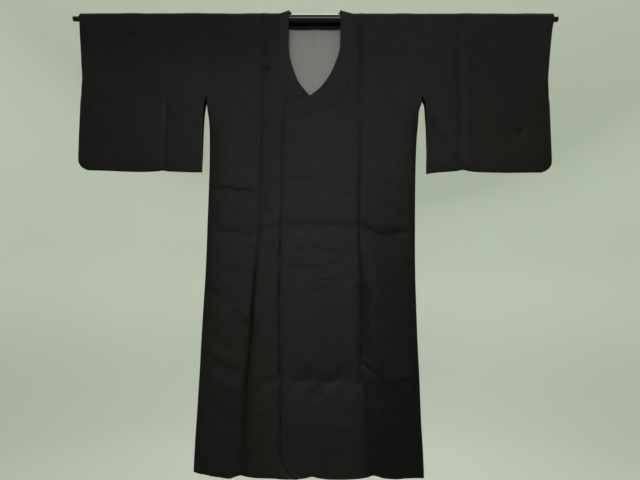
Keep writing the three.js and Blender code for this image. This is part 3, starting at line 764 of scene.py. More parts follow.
def grid_mesh(sheet):
    """A grid whose corners are moved to where the sheet's shape puts them. Rows and columns are the
    values at its lines, and its UV map is in metres of cloth."""
    across, down = len(sheet.columns), len(sheet.rows)
    bm = bmesh.new()
    bmesh.ops.create_grid(bm, x_segments=across - 1, y_segments=down - 1, size=0.5)
    mesh = bpy.data.meshes.new("sheet")
    bm.to_mesh(mesh)
    bm.free()
    corners = np.zeros(len(mesh.vertices) * 3, np.float32)
    mesh.vertices.foreach_get("co", corners)
    shares = corners.reshape(-1, 3)[:, :2].astype(float) + 0.5
    column = np.interp(shares[:, 0] * (across - 1), range(across), sheet.columns)
    row = np.interp(shares[:, 1] * (down - 1), range(down), sheet.rows)
    places, out, cloth = sheet.shape(column, row)
    places = (places + (COAT_SHIFT, 0, 0)) * MM
    mesh.vertices.foreach_set("co", places.astype(np.float32).ravel())
    mesh.update()
    corner_vertex = np.zeros(len(mesh.loops), np.int32)
    mesh.loops.foreach_get("vertex_index", corner_vertex)
    layer = mesh.uv_layers.new(name="cloth")
    layer.data.foreach_set("uv", (cloth[corner_vertex] * MM).astype(np.float32).ravel())
    normals = np.zeros(len(mesh.vertices) * 3, np.float32)
    mesh.vertices.foreach_get("normal", normals)
    if (normals.reshape(-1, 3) * out).sum() < 0:
        mesh.flip_normals()
    return mesh


def new_object(name, bm):
    """An object for a finished bmesh, smooth shaded."""
    for face in bm.faces:
        face.smooth = True
    mesh = bpy.data.meshes.new(name)
    bm.to_mesh(mesh)
    bm.free()
    made = bpy.data.objects.new(name, mesh)
    bpy.context.scene.collection.objects.link(made)
    return made


def spun(points, axis, steps, merge):
    """A line of points turned once round an axis through the origin, its doubles merged."""
    bm = bmesh.new()
    corners = [bm.verts.new(point) for point in points]
    edges = [bm.edges.new(pair) for pair in zip(corners, corners[1:])]
    bmesh.ops.spin(
        bm, geom=corners + edges, cent=(0, 0, 0), axis=axis, dvec=(0, 0, 0),
        angle=2 * math.pi, steps=steps, use_merge=True, use_duplicate=False,
    )
    bmesh.ops.remove_doubles(bm, verts=bm.verts, dist=merge)
    return bm


def cloth_piece(name, sheets, thickness, rim_share, finish, stands_for):
    """A shell of cloth from one or more sheets that share their edges, with rounded rims."""
    bm = bmesh.new()
    for sheet in sheets:
        mesh = grid_mesh(sheet)
        bm.from_mesh(mesh)
        bpy.data.meshes.remove(mesh)
    bmesh.ops.remove_doubles(bm, verts=bm.verts, dist=0.02 * MM)
    piece = new_object(name, bm)
    wall = piece.modifiers.new("wall", "SOLIDIFY")
    wall.thickness = thickness
    wall.offset = 0
    edge = piece.modifiers.new("rim", "BEVEL")
    edge.width = rim_share * thickness
    edge.segments = RIM_STEPS
    edge.limit_method = "ANGLE"
    edge.angle_limit = SHEET_TURN
    edge.use_clamp_overlap = True
    piece.data.materials.append(finish)
    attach(piece, BODY)
    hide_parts(stands_for)
    return piece


# ---------------------------------------------------------------------------------------------
# Finishes
# ---------------------------------------------------------------------------------------------


class Shade:
    """A socket of a finish. Arithmetic on it adds Math nodes."""

    def __init__(self, finish, socket):
        self.finish = finish
        self.socket = socket

    def math(self, operation, *values):
        inputs = dict(enumerate(values))
        return self.finish.node("ShaderNodeMath", {"operation": operation}, inputs)

    def __add__(self, other):
        return self.math("ADD", self, other)

    def __radd__(self, other):
        return self.math("ADD", other, self)

    def __sub__(self, other):
        return self.math("SUBTRACT", self, other)

    def __rsub__(self, other):
        return self.math("SUBTRACT", other, self)

    def __mul__(self, other):
        return self.math("MULTIPLY", self, other)

    def __rmul__(self, other):
        return self.math("MULTIPLY", other, self)

    def step(self, low, high):
        """0 below low and 1 above high, smooth between them."""
        settings = {"interpolation_type": "SMOOTHSTEP"}
        inputs = {"Value": self, "From Min": low, "From Max": high}
        return self.finish.node("ShaderNodeMapRange", settings, inputs)


class Finish:
    """A material, and the nodes added to it."""

    def __init__(self, name, uv=True):
        self.material = bpy.data.materials.new(name)
        self.material.use_nodes = True
        self.tree = self.material.node_tree
        self.surface = self.tree.nodes["Principled BSDF"]
        if uv:
            self.place = self.node("ShaderNodeUVMap", {"uv_map": "cloth"})
        else:
            self.place = self.node("ShaderNodeTexCoord", output="Object")

    def node(self, kind, settings=None, inputs=None, output=0):
        """Adds a node with its settings and the values or links of its inputs."""
        made = self.tree.nodes.new(kind)
        for name, value in (settings or {}).items():
            setattr(made, name, value)
        for name, value in (inputs or {}).items():
            if isinstance(value, Shade):
                self.tree.links.new(value.socket, made.inputs[name])
            else:
                made.inputs[name].default_value = value
        return Shade(self, made.outputs[output])

    def noise(self, scale, detail=2.0, stretch=(1, 1, 1), at=None, roughness=0.5, warp=0.0):
        inputs = {"Location": (0, 0, 0), "Scale": stretch, "Vector": at or self.place}
        moved = self.node("ShaderNodeMapping", None, inputs)
        inputs = {
            "Vector": moved,
            "Scale": scale,
            "Detail": detail,
            "Roughness": roughness,
            "Distortion": warp,
        }
        return self.node("ShaderNodeTexNoise", None, inputs)

    def mix(self, share, first, second):
        """A blend of two colours."""
        inputs = {0: share, 6: first, 7: second}
        settings = {"data_type": "RGBA", "clamp_factor": False}
        return self.node("ShaderNodeMix", settings, inputs, output=2)

    def bump(self, height, distance, strength=1.0, after=None):
        inputs = {"Height": height, "Distance": distance, "Strength": strength}
        if after:
            inputs["Normal"] = after
        return self.node("ShaderNodeBump", None, inputs)

    def link(self, name, value):
        self.tree.links.new(value.socket, self.surface.inputs[name])

    def set(self, **values):
        """Values that are the same all over the surface, on the shader's own sockets."""
        for name, value in values.items():
            self.surface.inputs[name.replace("_", " ")].default_value = value


def with_alpha(colour):
    return (*colour, 1.0)


def tinted(colour, factor, tint=(1, 1, 1)):
    return with_alpha([c * factor * t for c, t in zip(colour, tint)])


def coat_finish(colours):
    """Near-black figured silk: a crepe weave, a soft woven figure, and slow shifts between brown,
    green and blue black. Painted light makes the lap a little lighter. Painted shade darkens the
    left front, the right front's hem and the right shoulder, which are also rougher there."""
    finish = Finish("figured_silk")
    # metres across from the middle line, and along the cloth, which is negative down the front
    across = finish.node("ShaderNodeSeparateXYZ", None, {"Vector": finish.place}, output=0)
    along = finish.node("ShaderNodeSeparateXYZ", None, {"Vector": finish.place}, output=1)
    below_neck = 1 - along.step(-0.45, -0.2)
    # painted light: the lap below the neck is painted lighter and shifted towards the cool tint
    lap_painted_light = across.step(-0.13, -0.07) * (1 - across.step(0.12, 0.15)) * below_neck
    # painted shade: the left front, the right front's hem and the right shoulder are painted darker,
    # and made rougher
    left_front_shade = across.step(0.12, 0.2) * (1 - along.step(-1.1, -0.35))
    right_hem_shade = (1 - across.step(-0.22, -0.1)) * (1 - along.step(-1.3, -0.9))
    right_shoulder_shade = (1 - across.step(-0.65, 0.55)) * (1 - (along * along).step(0.0, 0.045))
    painted_shade = left_front_shade + 0.6 * right_hem_shade + 0.75 * right_shoulder_shade
    broad = finish.noise(5.5, 2.0, warp=0.6)
    hue = finish.noise(3.1, 1.0, stretch=(1, 0.7, 1))
    figure = finish.noise(52, 3.0, stretch=(1, 0.8, 1), warp=0.5).step(0.4, 0.62)
    mottle = finish.noise(110, 2.0, stretch=(0.8, 1, 1), roughness=0.6)
    crepe = finish.noise(620, 2.0, stretch=(1, 0.45, 1), roughness=0.7)
    threads = finish.noise(1500, 1.0, stretch=(1, 0.16, 1))
    tone = finish.mix(
        (hue + 0.14 * lap_painted_light).step(0.38, 0.66),
        tinted(colours.cloth, 1.0, (1.2, 1.0, 0.86)),
        tinted(colours.cloth, 1.0, (0.86, 1.08, 1.14)),
    )
    grain = 0.12 * figure + 1.2 * (mottle - 0.5) + 0.3 * (crepe - 0.5)
    light = 0.45 + 0.24 * broad.step(0.3, 0.7) + grain + 0.3 * lap_painted_light - 0.55 * painted_shade
    finish.link("Base Color", finish.mix(light, tinted(colours.cloth, 0.35), tone))
    roughness = 0.61 - 0.03 * figure + 0.12 * (crepe - 0.5) - 0.04 * broad + 0.18 * painted_shade
    finish.link("Roughness", roughness)
    pucker = finish.noise(46, 2.0, stretch=(1, 1.5, 1), warp=0.8)
    ribs = finish.bump(crepe + 0.5 * threads, 0.00012, 0.55)
    woven = finish.bump(figure, 0.00006, 0.3, after=ribs)
    finish.link("Normal", finish.bump(pucker, 0.0016, 0.5, after=woven))
    finish.set(Sheen_Weight=0.01, Sheen_Roughness=0.45, Specular_IOR_Level=0.105)
    finish.set(Sheen_Tint=(0.72, 0.78, 0.76, 1))
    return finish.material


def lining_finish(colours):
    """Plain grey-mauve silk with a fine rib."""
    finish = Finish("lining_silk")
    broad = finish.noise(9, 2.0, stretch=(1, 0.6, 1))
    rib = finish.noise(900, 1.5, stretch=(1, 0.12, 1))
    shade = finish.mix(
        0.35 * broad + 0.4 * (rib - 0.5) + 0.4,
        tinted(colours.lining, 0.84),
        tinted(colours.lining, 1.08),
    )
    finish.link("Base Color", shade)
    finish.link("Roughness", 0.5 + 0.14 * (rib - 0.5) + 0.08 * broad)
    finish.link("Normal", finish.bump(rib, 0.0001, 0.4))
    finish.set(Sheen_Weight=0.1, Sheen_Roughness=0.4, Specular_IOR_Level=0.45)
    return finish.material


def thread_finish(colours):
    """Sewing silk, a shade lighter than the cloth, with its twist."""
    finish = Finish("sewing_silk", uv=False)
    twist = finish.noise(2600, 1.0)
    shade = finish.mix(twist, tinted(colours.cloth, 1.2), tinted(colours.cloth, 2.4))
    finish.link("Base Color", shade)
    finish.link("Roughness", 0.42 + 0.2 * twist)
    finish.set(Specular_IOR_Level=0.5)
    return finish.material


def lacquer_finish(colours):
    """Polished black lacquer, with the faint orange peel and dust of a used rod."""
    finish = Finish("black_lacquer", uv=False)
    peel = finish.noise(90, 2.0, stretch=(0.35, 1, 1))
    dust = finish.noise(420, 3.0, roughness=0.75).step(0.6, 0.78)
    worn = finish.noise(16, 3.0, roughness=0.6).step(0.5, 0.8)
    shade = finish.mix(0.1 * dust, with_alpha(colours.lacquer), (0.06, 0.06, 0.055, 1))
    finish.link("Base Color", shade)
    finish.link("Roughness", 0.13 + 0.1 * worn + 0.18 * dust)
    finish.link("Normal", finish.bump(peel, 0.0002, 0.25))
    finish.set(Specular_IOR_Level=0.2)
    return finish.material


def wall_finish(colours):
    """Matt paint with a faint roller texture, with painted shade on the floor and the wall's foot."""
    finish = Finish("studio_paint", uv=False)
    broad = finish.noise(0.8, 2.0)
    stipple = finish.noise(160, 2.0)
    shade = finish.mix(broad, tinted(colours.wall, 0.97), tinted(colours.wall, 1.03))
    height = finish.node("ShaderNodeSeparateXYZ", None, {"Vector": finish.place}, output=2)
    # painted shade: the paint grows darker from 0.3 m below the rod down to the floor
    wall = height.step(-1.7, -0.3)
    shade = finish.mix(wall, tinted(colours.wall, 0.68), shade)
    finish.link("Base Color", shade)
    finish.link("Roughness", 0.8 + 0.1 * stipple)
    finish.link("Normal", finish.bump(stipple, 0.0002, 0.2))
    finish.set(Specular_IOR_Level=0.25)
    return finish.material


def finish_of(name, make):
    """The named material, made once."""
    return bpy.data.materials.get(name) or make(bpy.context.scene.coat_colours)


def coat_cloth():
    return finish_of("figured_silk", coat_finish)


# ---------------------------------------------------------------------------------------------
# The pieces
# ---------------------------------------------------------------------------------------------


def back_neckline():
    """The neckline's rows from the middle of the back to the shoulder ridge."""
    return {name: values[NECK_RIDGE:][::-1] for name, values in NECKLINE.items()}


def body_sheets(hand, cell):
    """One side of the body: a strip from the front hem over the shoulder to the back hem, and the
    back between it and the middle line, below the neck."""
    side = SIDES[hand]
    total = QUARTER + LENGTH
    rows = np.linspace(0, total, round(total / cell) + 1)
    width = SECTIONS["side_" + hand][0] - SECTIONS["seam_" + hand][0]
    cell_width = CELL_WIDTH["body"] * cell
    strip_columns = graded(width, cell_width, fine_start=True, fine_end=True)
    back_columns = graded(SECTIONS["seam_" + hand][0], cell_width)
    neck = back_neckline()

    def strip(share, signed_run):
        run = abs(signed_run)
        drop = np.maximum(run - QUARTER, 0)
        edge = read(SECTIONS, "side_" + hand, drop)
        seam = read(SECTIONS, "seam_" + hand, drop) + np.where(signed_run < 0, SEAM / 2, 0)
        x = side * lerp(seam, edge, share)
        front, front_out = hang(FRONT, x, run, front_depth)
        back, back_out = hang(BACK, x, run, back_depth)
        forward = (signed_run < 0)[:, None]
        cloth = np.stack([x, signed_run], axis=-1)
        return np.where(forward, front, back), np.where(forward, front_out, back_out), cloth

    def back(share, run):
        drop = np.maximum(run - QUARTER, 0)
        seam = read(SECTIONS, "seam_" + hand, drop)
        neck_edge = neck_half(hand) + SEAM
        steps = np.arange(len(neck["run"]), dtype=float)
        at = steps[-1] * np.minimum(share / NECK_SHARE, 1)
        neck_x = curve(steps, neck["out_span"], at) * neck_edge
        neck_run = curve(steps, neck["run"], at) + SEAM
        beyond = np.clip((share - NECK_SHARE) / (1 - NECK_SHARE), 0, 1)
        top_x = np.where(share < NECK_SHARE, neck_x, lerp(neck_edge, seam, beyond))
        top = np.where(share < NECK_SHARE, neck_run, SEAM * (1 - beyond))
        down = row_run(top, run)
        x = np.maximum(lerp(top_x, seam * share, part(run / REGULAR_RUN)), SEAM / 2)
        places, out = hang(BACK, side * x, down, back_depth)
        return places, out, np.stack([side * x, down], axis=-1)

    whole = np.concatenate([-rows[:0:-1], rows])
    return [Sheet(strip_columns, whole, strip), Sheet(back_columns, rows, back)]


def seam_curve(hand):
    """The seam between collar and front panel, from the shoulder down: drops, and distances from
    the middle line on the panel's own side."""
    rows = COLLARS[hand]
    steps = np.arange(len(rows["out_x"]), dtype=float)
    at = np.linspace(0, steps[-1], 600)
    drop = curve(steps, rows["out_drop"], at) + SEAM
    return drop, SIDES[hand] * curve(steps, rows["out_x"], at) + SEAM


def panel_sheets(hand, cell):
    """A front panel, from the collar's seam and then its free edge to its seam with the body."""
    side = SIDES[hand]
    seam_drop, seam_x = seam_curve(hand)
    picked = even_steps(seam_x, seam_drop, cell)
    collar_rows = np.interp(picked, np.arange(len(seam_drop)), seam_drop)
    first_run = QUARTER + seam_drop[0]
    corner_top = LENGTH - HEM_CORNER["down"]
    corner_arc = 1.6 * HEM_CORNER["down"]
    turn = np.linspace(0, math.pi / 2, round(corner_arc / cell) + 1)
    over = np.linspace(SEAM / 2, first_run, round(first_run / cell) + 1)
    straight = np.linspace(seam_drop[-1], corner_top, round((corner_top - seam_drop[-1]) / cell) + 1)
    corner_rows = corner_top + HEM_CORNER["down"] * np.sin(turn)
    drops = np.concatenate([collar_rows[1:], straight[1:], corner_rows[1:]])
    runs = np.concatenate([over, QUARTER + drops])
    width = SECTIONS["edge"][0] + SECTIONS["seam_" + hand][0]
    columns = graded(width, CELL_WIDTH["panel"] * cell, fine_start=True, fine_end=True)
    depth = PANEL_DEPTH[hand]

    def shape(share, run):
        drop = np.maximum(run - QUARTER, 0)
        above = np.interp(drop, seam_drop, seam_x)
        inner = np.where(drop <= seam_drop[-1], above, -free_edge(drop))
        seam = read(SECTIONS, "seam_" + hand, drop) - SEAM / 2
        x = side * lerp(inner, seam, share)
        places, out = hang(FRONT, x, run, depth)
        return places, out, np.stack([x, -run], axis=-1)

    return [Sheet(columns, runs, shape)]


def sleeve_edge(hand, drop):
    """The sleeve's outer edge, with its rounded lower corner."""
    below = np.maximum(drop - SLEEVE_BOTTOM[hand] + SLEEVE_CORNER, 0)
    rounding = SLEEVE_CORNER - np.sqrt(np.maximum(SLEEVE_CORNER**2 - below**2, 0))
    return read(SLEEVES, "outer_" + hand, drop) - rounding


def sleeve_depth(hand, face, x, drop):
    """Half a sleeve's depth, drawn together below the cuff."""
    creases = SLEEVE_CREASES[hand, face] + SLEEVE_CRINKLES[hand, face]
    open_depth = read(SLEEVES, "depth", drop)
    edge = sleeve_edge(hand, drop)
    inset = (edge - x) / CUFF["width"]
    closed = lerp(CUFF["offset"], open_depth, rounded(inset))
    shut = smoothstep(drop, CUFF["shut_from"], CUFF["shut_by"])
    slack = part(open_depth / WRAP_RADIUS)
    near_edge = part((edge - x) / CALM_EDGE["sleeve"])
    return (
        lerp(open_depth, closed, shut)
        + fold_height(SLEEVE_FOLDS[hand], x, drop) * slack * part(inset)
        + crease_height(creases, x, drop) * slack * near_edge
    )


def sleeve_sheets(hand, cell):
    """A sleeve: a tube over the rod, folded at the bottom, open at both ends above its seams."""
    side = SIDES[hand]
    bottom = SLEEVE_BOTTOM[hand]
    last = bottom - SLEEVE_FOLD
    hung, over_rod, under_fold = round(last / cell), 8, 9  # rows in each stretch
    stretches = ((QUARTER, over_rod), (last, hung), (SLEEVE_UNDER, under_fold), (last, hung),
                 (QUARTER, over_rod))
    rows = np.zeros(1)
    for length, count in stretches:
        rows = np.append(rows[:-1], np.linspace(rows[-1], rows[-1] + length, count))
    narrowest = SLEEVE_NARROWEST
    width = SLEEVES["outer_" + hand][narrowest] - SLEEVES["inner_" + hand][narrowest]
    columns = graded(width, CELL_WIDTH["sleeve"] * cell, fine_end=True)

    def shape(share, travelled):
        forward = travelled < QUARTER + last + SLEEVE_UNDER / 2
        run = np.where(forward, travelled, rows[-1] - travelled)
        face = np.where(forward, FRONT, BACK)
        drop = np.clip(run - QUARTER, 0, last)
        turn = np.clip((run - QUARTER - last) / (SLEEVE_UNDER / 2), 0, 1) * math.pi / 2
        low = drop + (bottom - last) * np.sin(turn)
        x = lerp(read(SLEEVES, "inner_" + hand, low), sleeve_edge(hand, low), share)
        depth = np.where(
            forward, sleeve_depth(hand, FRONT, x, drop), sleeve_depth(hand, BACK, x, drop)
        )
        lift = read(SLEEVE_LIFT, hand, x, "x") * smoothstep(drop, SLEEVE_LIFT_FROM * last, last)
        over = np.minimum(run, QUARTER) / WRAP_RADIUS
        radius = WRAP_RADIUS + ridge_lumps(side * x, run)
        wrapped = run < QUARTER
        y = np.where(wrapped, radius * np.sin(over), depth * np.cos(turn))
        z = np.where(wrapped, radius * np.cos(over), lift - low)
        places = np.stack([side * x, face * y, z], axis=-1)
        out_y = face * np.sin(over) * np.cos(turn)
        out = np.stack([0 * x, out_y, np.cos(over) - np.sin(turn)], axis=-1)
        return places, out, np.stack([side * x, travelled], axis=-1)

    return [Sheet(columns, rows, shape)]


def collar_knots():
    """The collar's inner and outer edge from the end of the right front, round the neck, to the end
    of the left front, with the way out at each."""
    proud = COLLAR_PROUD
    inner, outer, out = [], [], []

    def front(hand):
        rows = COLLARS[hand]
        depth = PANEL_DEPTH[hand]
        flat = [hang(FRONT, rows[f"{edge}_x"], QUARTER + rows[f"{edge}_drop"], depth, proud)
                for edge in ("in", "out")]
        return flat[0][0], flat[1][0], flat[1][1]

    def neck(hand):
        side = SIDES[hand]
        span = side * NECKLINE["out_span"] * neck_half(hand)
        hung = [hang(FRONT if run < 0 else BACK, np.array([x]), np.array([abs(run)]), back_depth, proud)
                for x, run in zip(span, NECKLINE["run"])]
        over = np.stack([places[0] for places, _ in hung])
        ways = np.stack([turned_out[0] for _, turned_out in hung])
        x = side * NECKLINE["in_span"] * stand_half(hand)
        stand = np.stack([x, NECKLINE["in_y"], NECKLINE["in_z"]], axis=-1)
        return stand, over, ways

    for hand, turned in (("right", False), ("left", True)):
        parts = [[values[::-1] for values in front(hand)], list(neck(hand))]
        joined = [np.concatenate(pair) for pair in zip(*parts)]
        if turned:
            joined = [values[::-1][1:] for values in joined]
        for store, values in zip((inner, outer, out), joined):
            store.append(values)
    return np.concatenate(inner), np.concatenate(outer), np.concatenate(out)


def collar_sheets(cell):
    """The collar band, from the end of the right front round the neck to the end of the left."""
    inner, outer, out = collar_knots()
    steps = np.arange(len(inner), dtype=float)
    fronts = len(COLLAR_RIGHT["in_x"]) - 1
    fine = np.linspace(0, steps[-1], 4000)
    middle = np.stack([curve(steps, (inner + outer)[:, k] / 2, fine) for k in range(3)], axis=-1)
    travelled = np.concatenate([[0], np.cumsum(np.linalg.norm(np.diff(middle, axis=0), axis=1))])
    count = round(travelled[-1] / cell)
    rows = np.interp(np.linspace(0, travelled[-1], count + 1), travelled, fine)
    columns = np.linspace(0, 1, 13)

    def shape(across, at):
        def edge(knots):
            return np.stack([curve(steps, knots[:, k], at) for k in range(3)], axis=-1)

        places = lerp(edge(inner), edge(outer), COLLAR_LAP * across[:, None])
        ways = edge(out)
        crown = COLLAR_CROWN["height"] * np.sin(math.pi * across) ** COLLAR_CROWN["power"]
        for hand, there in (("right", at <= fronts), ("left", at >= steps[-1] - fronts)):
            depth = PANEL_DEPTH[hand](places[:, 0], -places[:, 2])
            places[:, 1] = np.where(there, -(depth + COLLAR_PROUD), places[:, 1])
        cloth = np.stack([across * COLLAR_CLOTH, np.interp(at, fine, travelled)], axis=-1)
        return places + crown[:, None] * ways, ways, cloth

    return [Sheet(columns, rows, shape)]


def lining_sheets(hand, cell, thickness, cloth):
    """One side of the yoke lining, inside the back below the collar."""
    side = SIDES[hand]
    cell = CELL_WIDTH["lining"] * cell
    rows = np.linspace(0, 1, round(YOKE["drop"] / cell) + 1)
    columns = np.linspace(0, 1, round(YOKE["half_width"] / cell) + 1)
    neck = back_neckline()
    proud = -(cloth / 2 + SEAM + thickness / 2)

    def shape(share, down):
        steps = np.arange(len(neck["run"]) + 1, dtype=float)
        spans = np.append(neck["out_span"] * neck_half(hand), YOKE["half_width"])
        runs = np.append(neck["run"], 0) + SEAM
        top_x = curve(steps, spans, share * steps[-1])
        top = np.maximum(curve(steps, runs, share * steps[-1]), QUARTER + YOKE["clear_of_rod"])
        x = np.maximum(lerp(top_x, YOKE["half_width"] * share, part(down)), SEAM / 2)
        run = lerp(top, QUARTER + YOKE["drop"], down)
        ripples = crease_height(LINING_CREASES, side * x, run - QUARTER)
        places, out = hang(BACK, side * x, run, back_depth, proud)
        shown = np.where(ripples < 0, LINING_RIPPLE["hollow"], LINING_RIPPLE["ridge"])
        places[:, 1] += shown * ripples
        return places, -out, np.stack([side * x, run], axis=-1)

    return [Sheet(columns, rows, shape)]


def make_stitches(name, rows):
    """A row of small stitches as one mesh: rows holds places and the ways along and out."""
    bm = bmesh.new()
    half = Vector((STITCH["length"], STITCH["width"], STITCH["width"])) * MM / 2
    for place, along, out in rows:
        x = Vector(along).normalized()
        z = Vector(out).normalized()
        turn = Matrix((x, z.cross(x), z)).transposed().to_4x4()
        at = (Vector(place) + Vector((COAT_SHIFT, 0, 0))) * MM
        matrix = Matrix.Translation(at) @ turn @ Matrix.Diagonal((*half, 1))
        bmesh.ops.create_icosphere(bm, subdivisions=1, radius=1, matrix=matrix)
    piece = new_object(name, bm)
    piece.data.materials.append(finish_of("sewing_silk", thread_finish))
    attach(piece, BODY)
    return piece


def stitched(x, run, face, depth, proud):
    """Places for stitches along a line on hanging cloth, each with its ways along and out."""
    travelled = np.concatenate([[0], np.cumsum(np.hypot(np.diff(x), np.diff(run)))])
    at = np.arange(STITCH["pitch"] / 2, travelled[-1], STITCH["pitch"])
    at = at + STITCH["uneven"] * STITCH["pitch"] * np.sin(at * STITCH["beat"])

    def hung(at):
        return hang(face, np.interp(at, travelled, x), np.interp(at, travelled, run), depth, proud)

    places, out = hung(at)
    ahead, _ = hung(at + 1)
    return [(p, a - p, o) for p, a, o in zip(places, ahead, out)]


# ---------------------------------------------------------------------------------------------
# What a user can change
# ---------------------------------------------------------------------------------------------


class CoatSizes(bpy.types.PropertyGroup):
    """Sizes of the coat's cloth and sewing."""

    cloth: bpy.props.FloatProperty(
        name="Cloth", description="Thickness of the coat's cloth, two layers and their allowance",
        default=0.002, min=0.0005, max=0.004, unit="LENGTH",
    )
    collar: bpy.props.FloatProperty(
        name="Collar", description="Thickness of the collar band",
        default=0.0022, min=0.001, max=0.005, unit="LENGTH",
    )
    lining: bpy.props.FloatProperty(
        name="Lining", description="Thickness of the yoke lining",
        default=0.001, min=0.0003, max=0.002, unit="LENGTH",
    )
    cell: bpy.props.FloatProperty(
        name="Mesh cell", description="Height of one cell of the cloth's mesh",
        default=0.0038, min=0.002, max=0.03, unit="LENGTH",
    )


class CoatColours(bpy.types.PropertyGroup):
    """Colours of the coat, its rod and the stage."""

    cloth: bpy.props.FloatVectorProperty(
        name="Cloth", description="Colour of the coat's silk",
        default=(0.0051, 0.005, 0.0047), min=0, max=1, size=3, subtype="COLOR",
    )
    lining: bpy.props.FloatVectorProperty(
        name="Lining", description="Colour of the yoke lining",
        default=(0.152, 0.143, 0.143), min=0, max=1, size=3, subtype="COLOR",
    )
    lacquer: bpy.props.FloatVectorProperty(
        name="Lacquer", description="Colour of the rod",
        default=(0.003, 0.003, 0.0032), min=0, max=1, size=3, subtype="COLOR",
    )
    wall: bpy.props.FloatVectorProperty(
        name="Wall", description="Colour of the stage's floor and wall",
        default=(0.6, 0.64, 0.565), min=0, max=1, size=3, subtype="COLOR",
    )


class StageSettings(bpy.types.PropertyGroup):
    """The room that the coat is shown in."""

    floor: bpy.props.FloatProperty(
        name="Floor", description="Height of the floor below the rod",
        default=1.75, min=1.3, max=3, unit="LENGTH",
    )
    radius: bpy.props.FloatProperty(
        name="Radius", description="Distance of the wall from the coat",
        default=4.2, min=3, max=10, unit="LENGTH",
    )
    height: bpy.props.FloatProperty(
        name="Height", description="Height of the wall's top above the rod",
        default=3.4, min=1, max=6, unit="LENGTH",
    )
    key: bpy.props.FloatProperty(
        name="Key light", description="Power of the light in front of the coat",
        default=70, min=0, max=2000, unit="POWER",
    )
    sky: bpy.props.FloatProperty(
        name="Room light", description="Strength of the light from the open top of the room",
        default=1.15, min=0, max=5,
    )


# ---------------------------------------------------------------------------------------------
# Operators
# ---------------------------------------------------------------------------------------------


class COAT_OT_bodies(bpy.types.Operator):
    """Make both sides of the coat's body, each from front hem over the shoulder to back hem"""

    bl_idname = "coat.bodies"
    bl_label = "Bodies"

    def execute(self, context):
        sizes = context.scene.coat_sizes
        for hand in SIDES:
            sheets = body_sheets(hand, sizes.cell / MM)
            piece = cloth_piece(
                hand + "_body_cloth", sheets, sizes.cloth, RIM_SHARE["cloth"], coat_cloth(),
                hand + "_body",
            )
        return {"FINISHED"}


class COAT_OT_front_panels(bpy.types.Operator):
    """Make the two front panels, the left lapped over the right"""

    bl_idname = "coat.front_panels"
    bl_label = "Front panels"

    def execute(self, context):
        sizes = context.scene.coat_sizes
        for hand in SIDES:
            sheets = panel_sheets(hand, sizes.cell / MM)
            piece = cloth_piece(
                hand + "_front_cloth", sheets, sizes.cloth, RIM_SHARE["cloth"], coat_cloth(),
                hand + "_front_panel",
            )
        return {"FINISHED"}


class COAT_OT_sleeves(bpy.types.Operator):
    """Make both sleeves, tubes of cloth folded over the rod"""

    bl_idname = "coat.sleeves"
    bl_label = "Sleeves"

    def execute(self, context):
        sizes = context.scene.coat_sizes
        for hand in SIDES:
            sheets = sleeve_sheets(hand, sizes.cell / MM)
            piece = cloth_piece(
                hand + "_sleeve_cloth", sheets, sizes.cloth, RIM_SHARE["cloth"], coat_cloth(),
                hand + "_sleeve",
            )
        return {"FINISHED"}


class COAT_OT_collar(bpy.types.Operator):
    """Make the collar band, round the neck and down both fronts"""

    bl_idname = "coat.collar"
    bl_label = "Collar"

    def execute(self, context):
        sizes = context.scene.coat_sizes
        piece = cloth_piece(
            "collar_band", collar_sheets(sizes.cell / MM), sizes.collar, RIM_SHARE["collar"],
            coat_cloth(), "collar",
        )
        return {"FINISHED"}


class COAT_OT_lining(bpy.types.Operator):
    """Make both halves of the yoke lining, inside the back"""

    bl_idname = "coat.lining"
    bl_label = "Yoke lining"

    def execute(self, context):
        sizes = context.scene.coat_sizes
        for hand in SIDES:
            sheets = lining_sheets(hand, sizes.cell / MM, sizes.lining / MM, sizes.cloth / MM)
            piece = cloth_piece(
                hand + "_yoke_lining", sheets, sizes.lining, RIM_SHARE["lining"],
                finish_of("lining_silk", lining_finish), hand + "_back_lining",
            )
        return {"FINISHED"}


class COAT_OT_sewing(bpy.types.Operator):
    """Make the small stitches of the hem, the lapped edge and the cuffs"""

    bl_idname = "coat.sewing"
    bl_label = "Sewing"

    def execute(self, context):
        proud = context.scene.coat_sizes.cloth / MM / 2
        clear = HEM_STITCH_CLEAR
        side = SECTIONS["side_right"][-1] - clear["side"]
        edge = SECTIONS["edge"][-1]
        seam = SECTIONS["seam_left"][NEAR_HEM]
        lines = (
            (-side, side, BACK, back_depth),
            (-side, -edge - clear["under"], FRONT, front_depth),
            (seam + clear["seam"], side, FRONT, front_depth),
            (clear["lap"] - edge, seam - clear["seam"], FRONT, lap_depth),
        )
        rows = []
        for start, end, face, depth in lines:
            x = np.linspace(start, end, 200)
            rows += stitched(x, np.full(x.shape, QUARTER + HEM_LINE["drop"]), face, depth, proud)
        make_stitches("hem_stitches", rows)
        drops = np.linspace(COLLAR_END_DROP + 6, LENGTH - HEM_CORNER["down"], 300)
        x = PANEL_STITCH_INSET - free_edge(drops)
        make_stitches("lap_stitches", stitched(x, QUARTER + drops, FRONT, lap_depth, proud))
        for hand, side in SIDES.items():
            rows = []
            for face in (FRONT, BACK):
                drops = np.linspace(4, SLEEVE_BOTTOM[hand] - SLEEVE_CORNER, 200)
                x = side * (sleeve_edge(hand, drops) - CUFF_STITCH_INSET)

                def on_sleeve(x, drop):
                    return sleeve_depth(hand, face, side * x, drop)

                rows += stitched(x, QUARTER + drops, face, on_sleeve, proud)
            make_stitches(hand + "_cuff_stitches", rows)
        return {"FINISHED"}


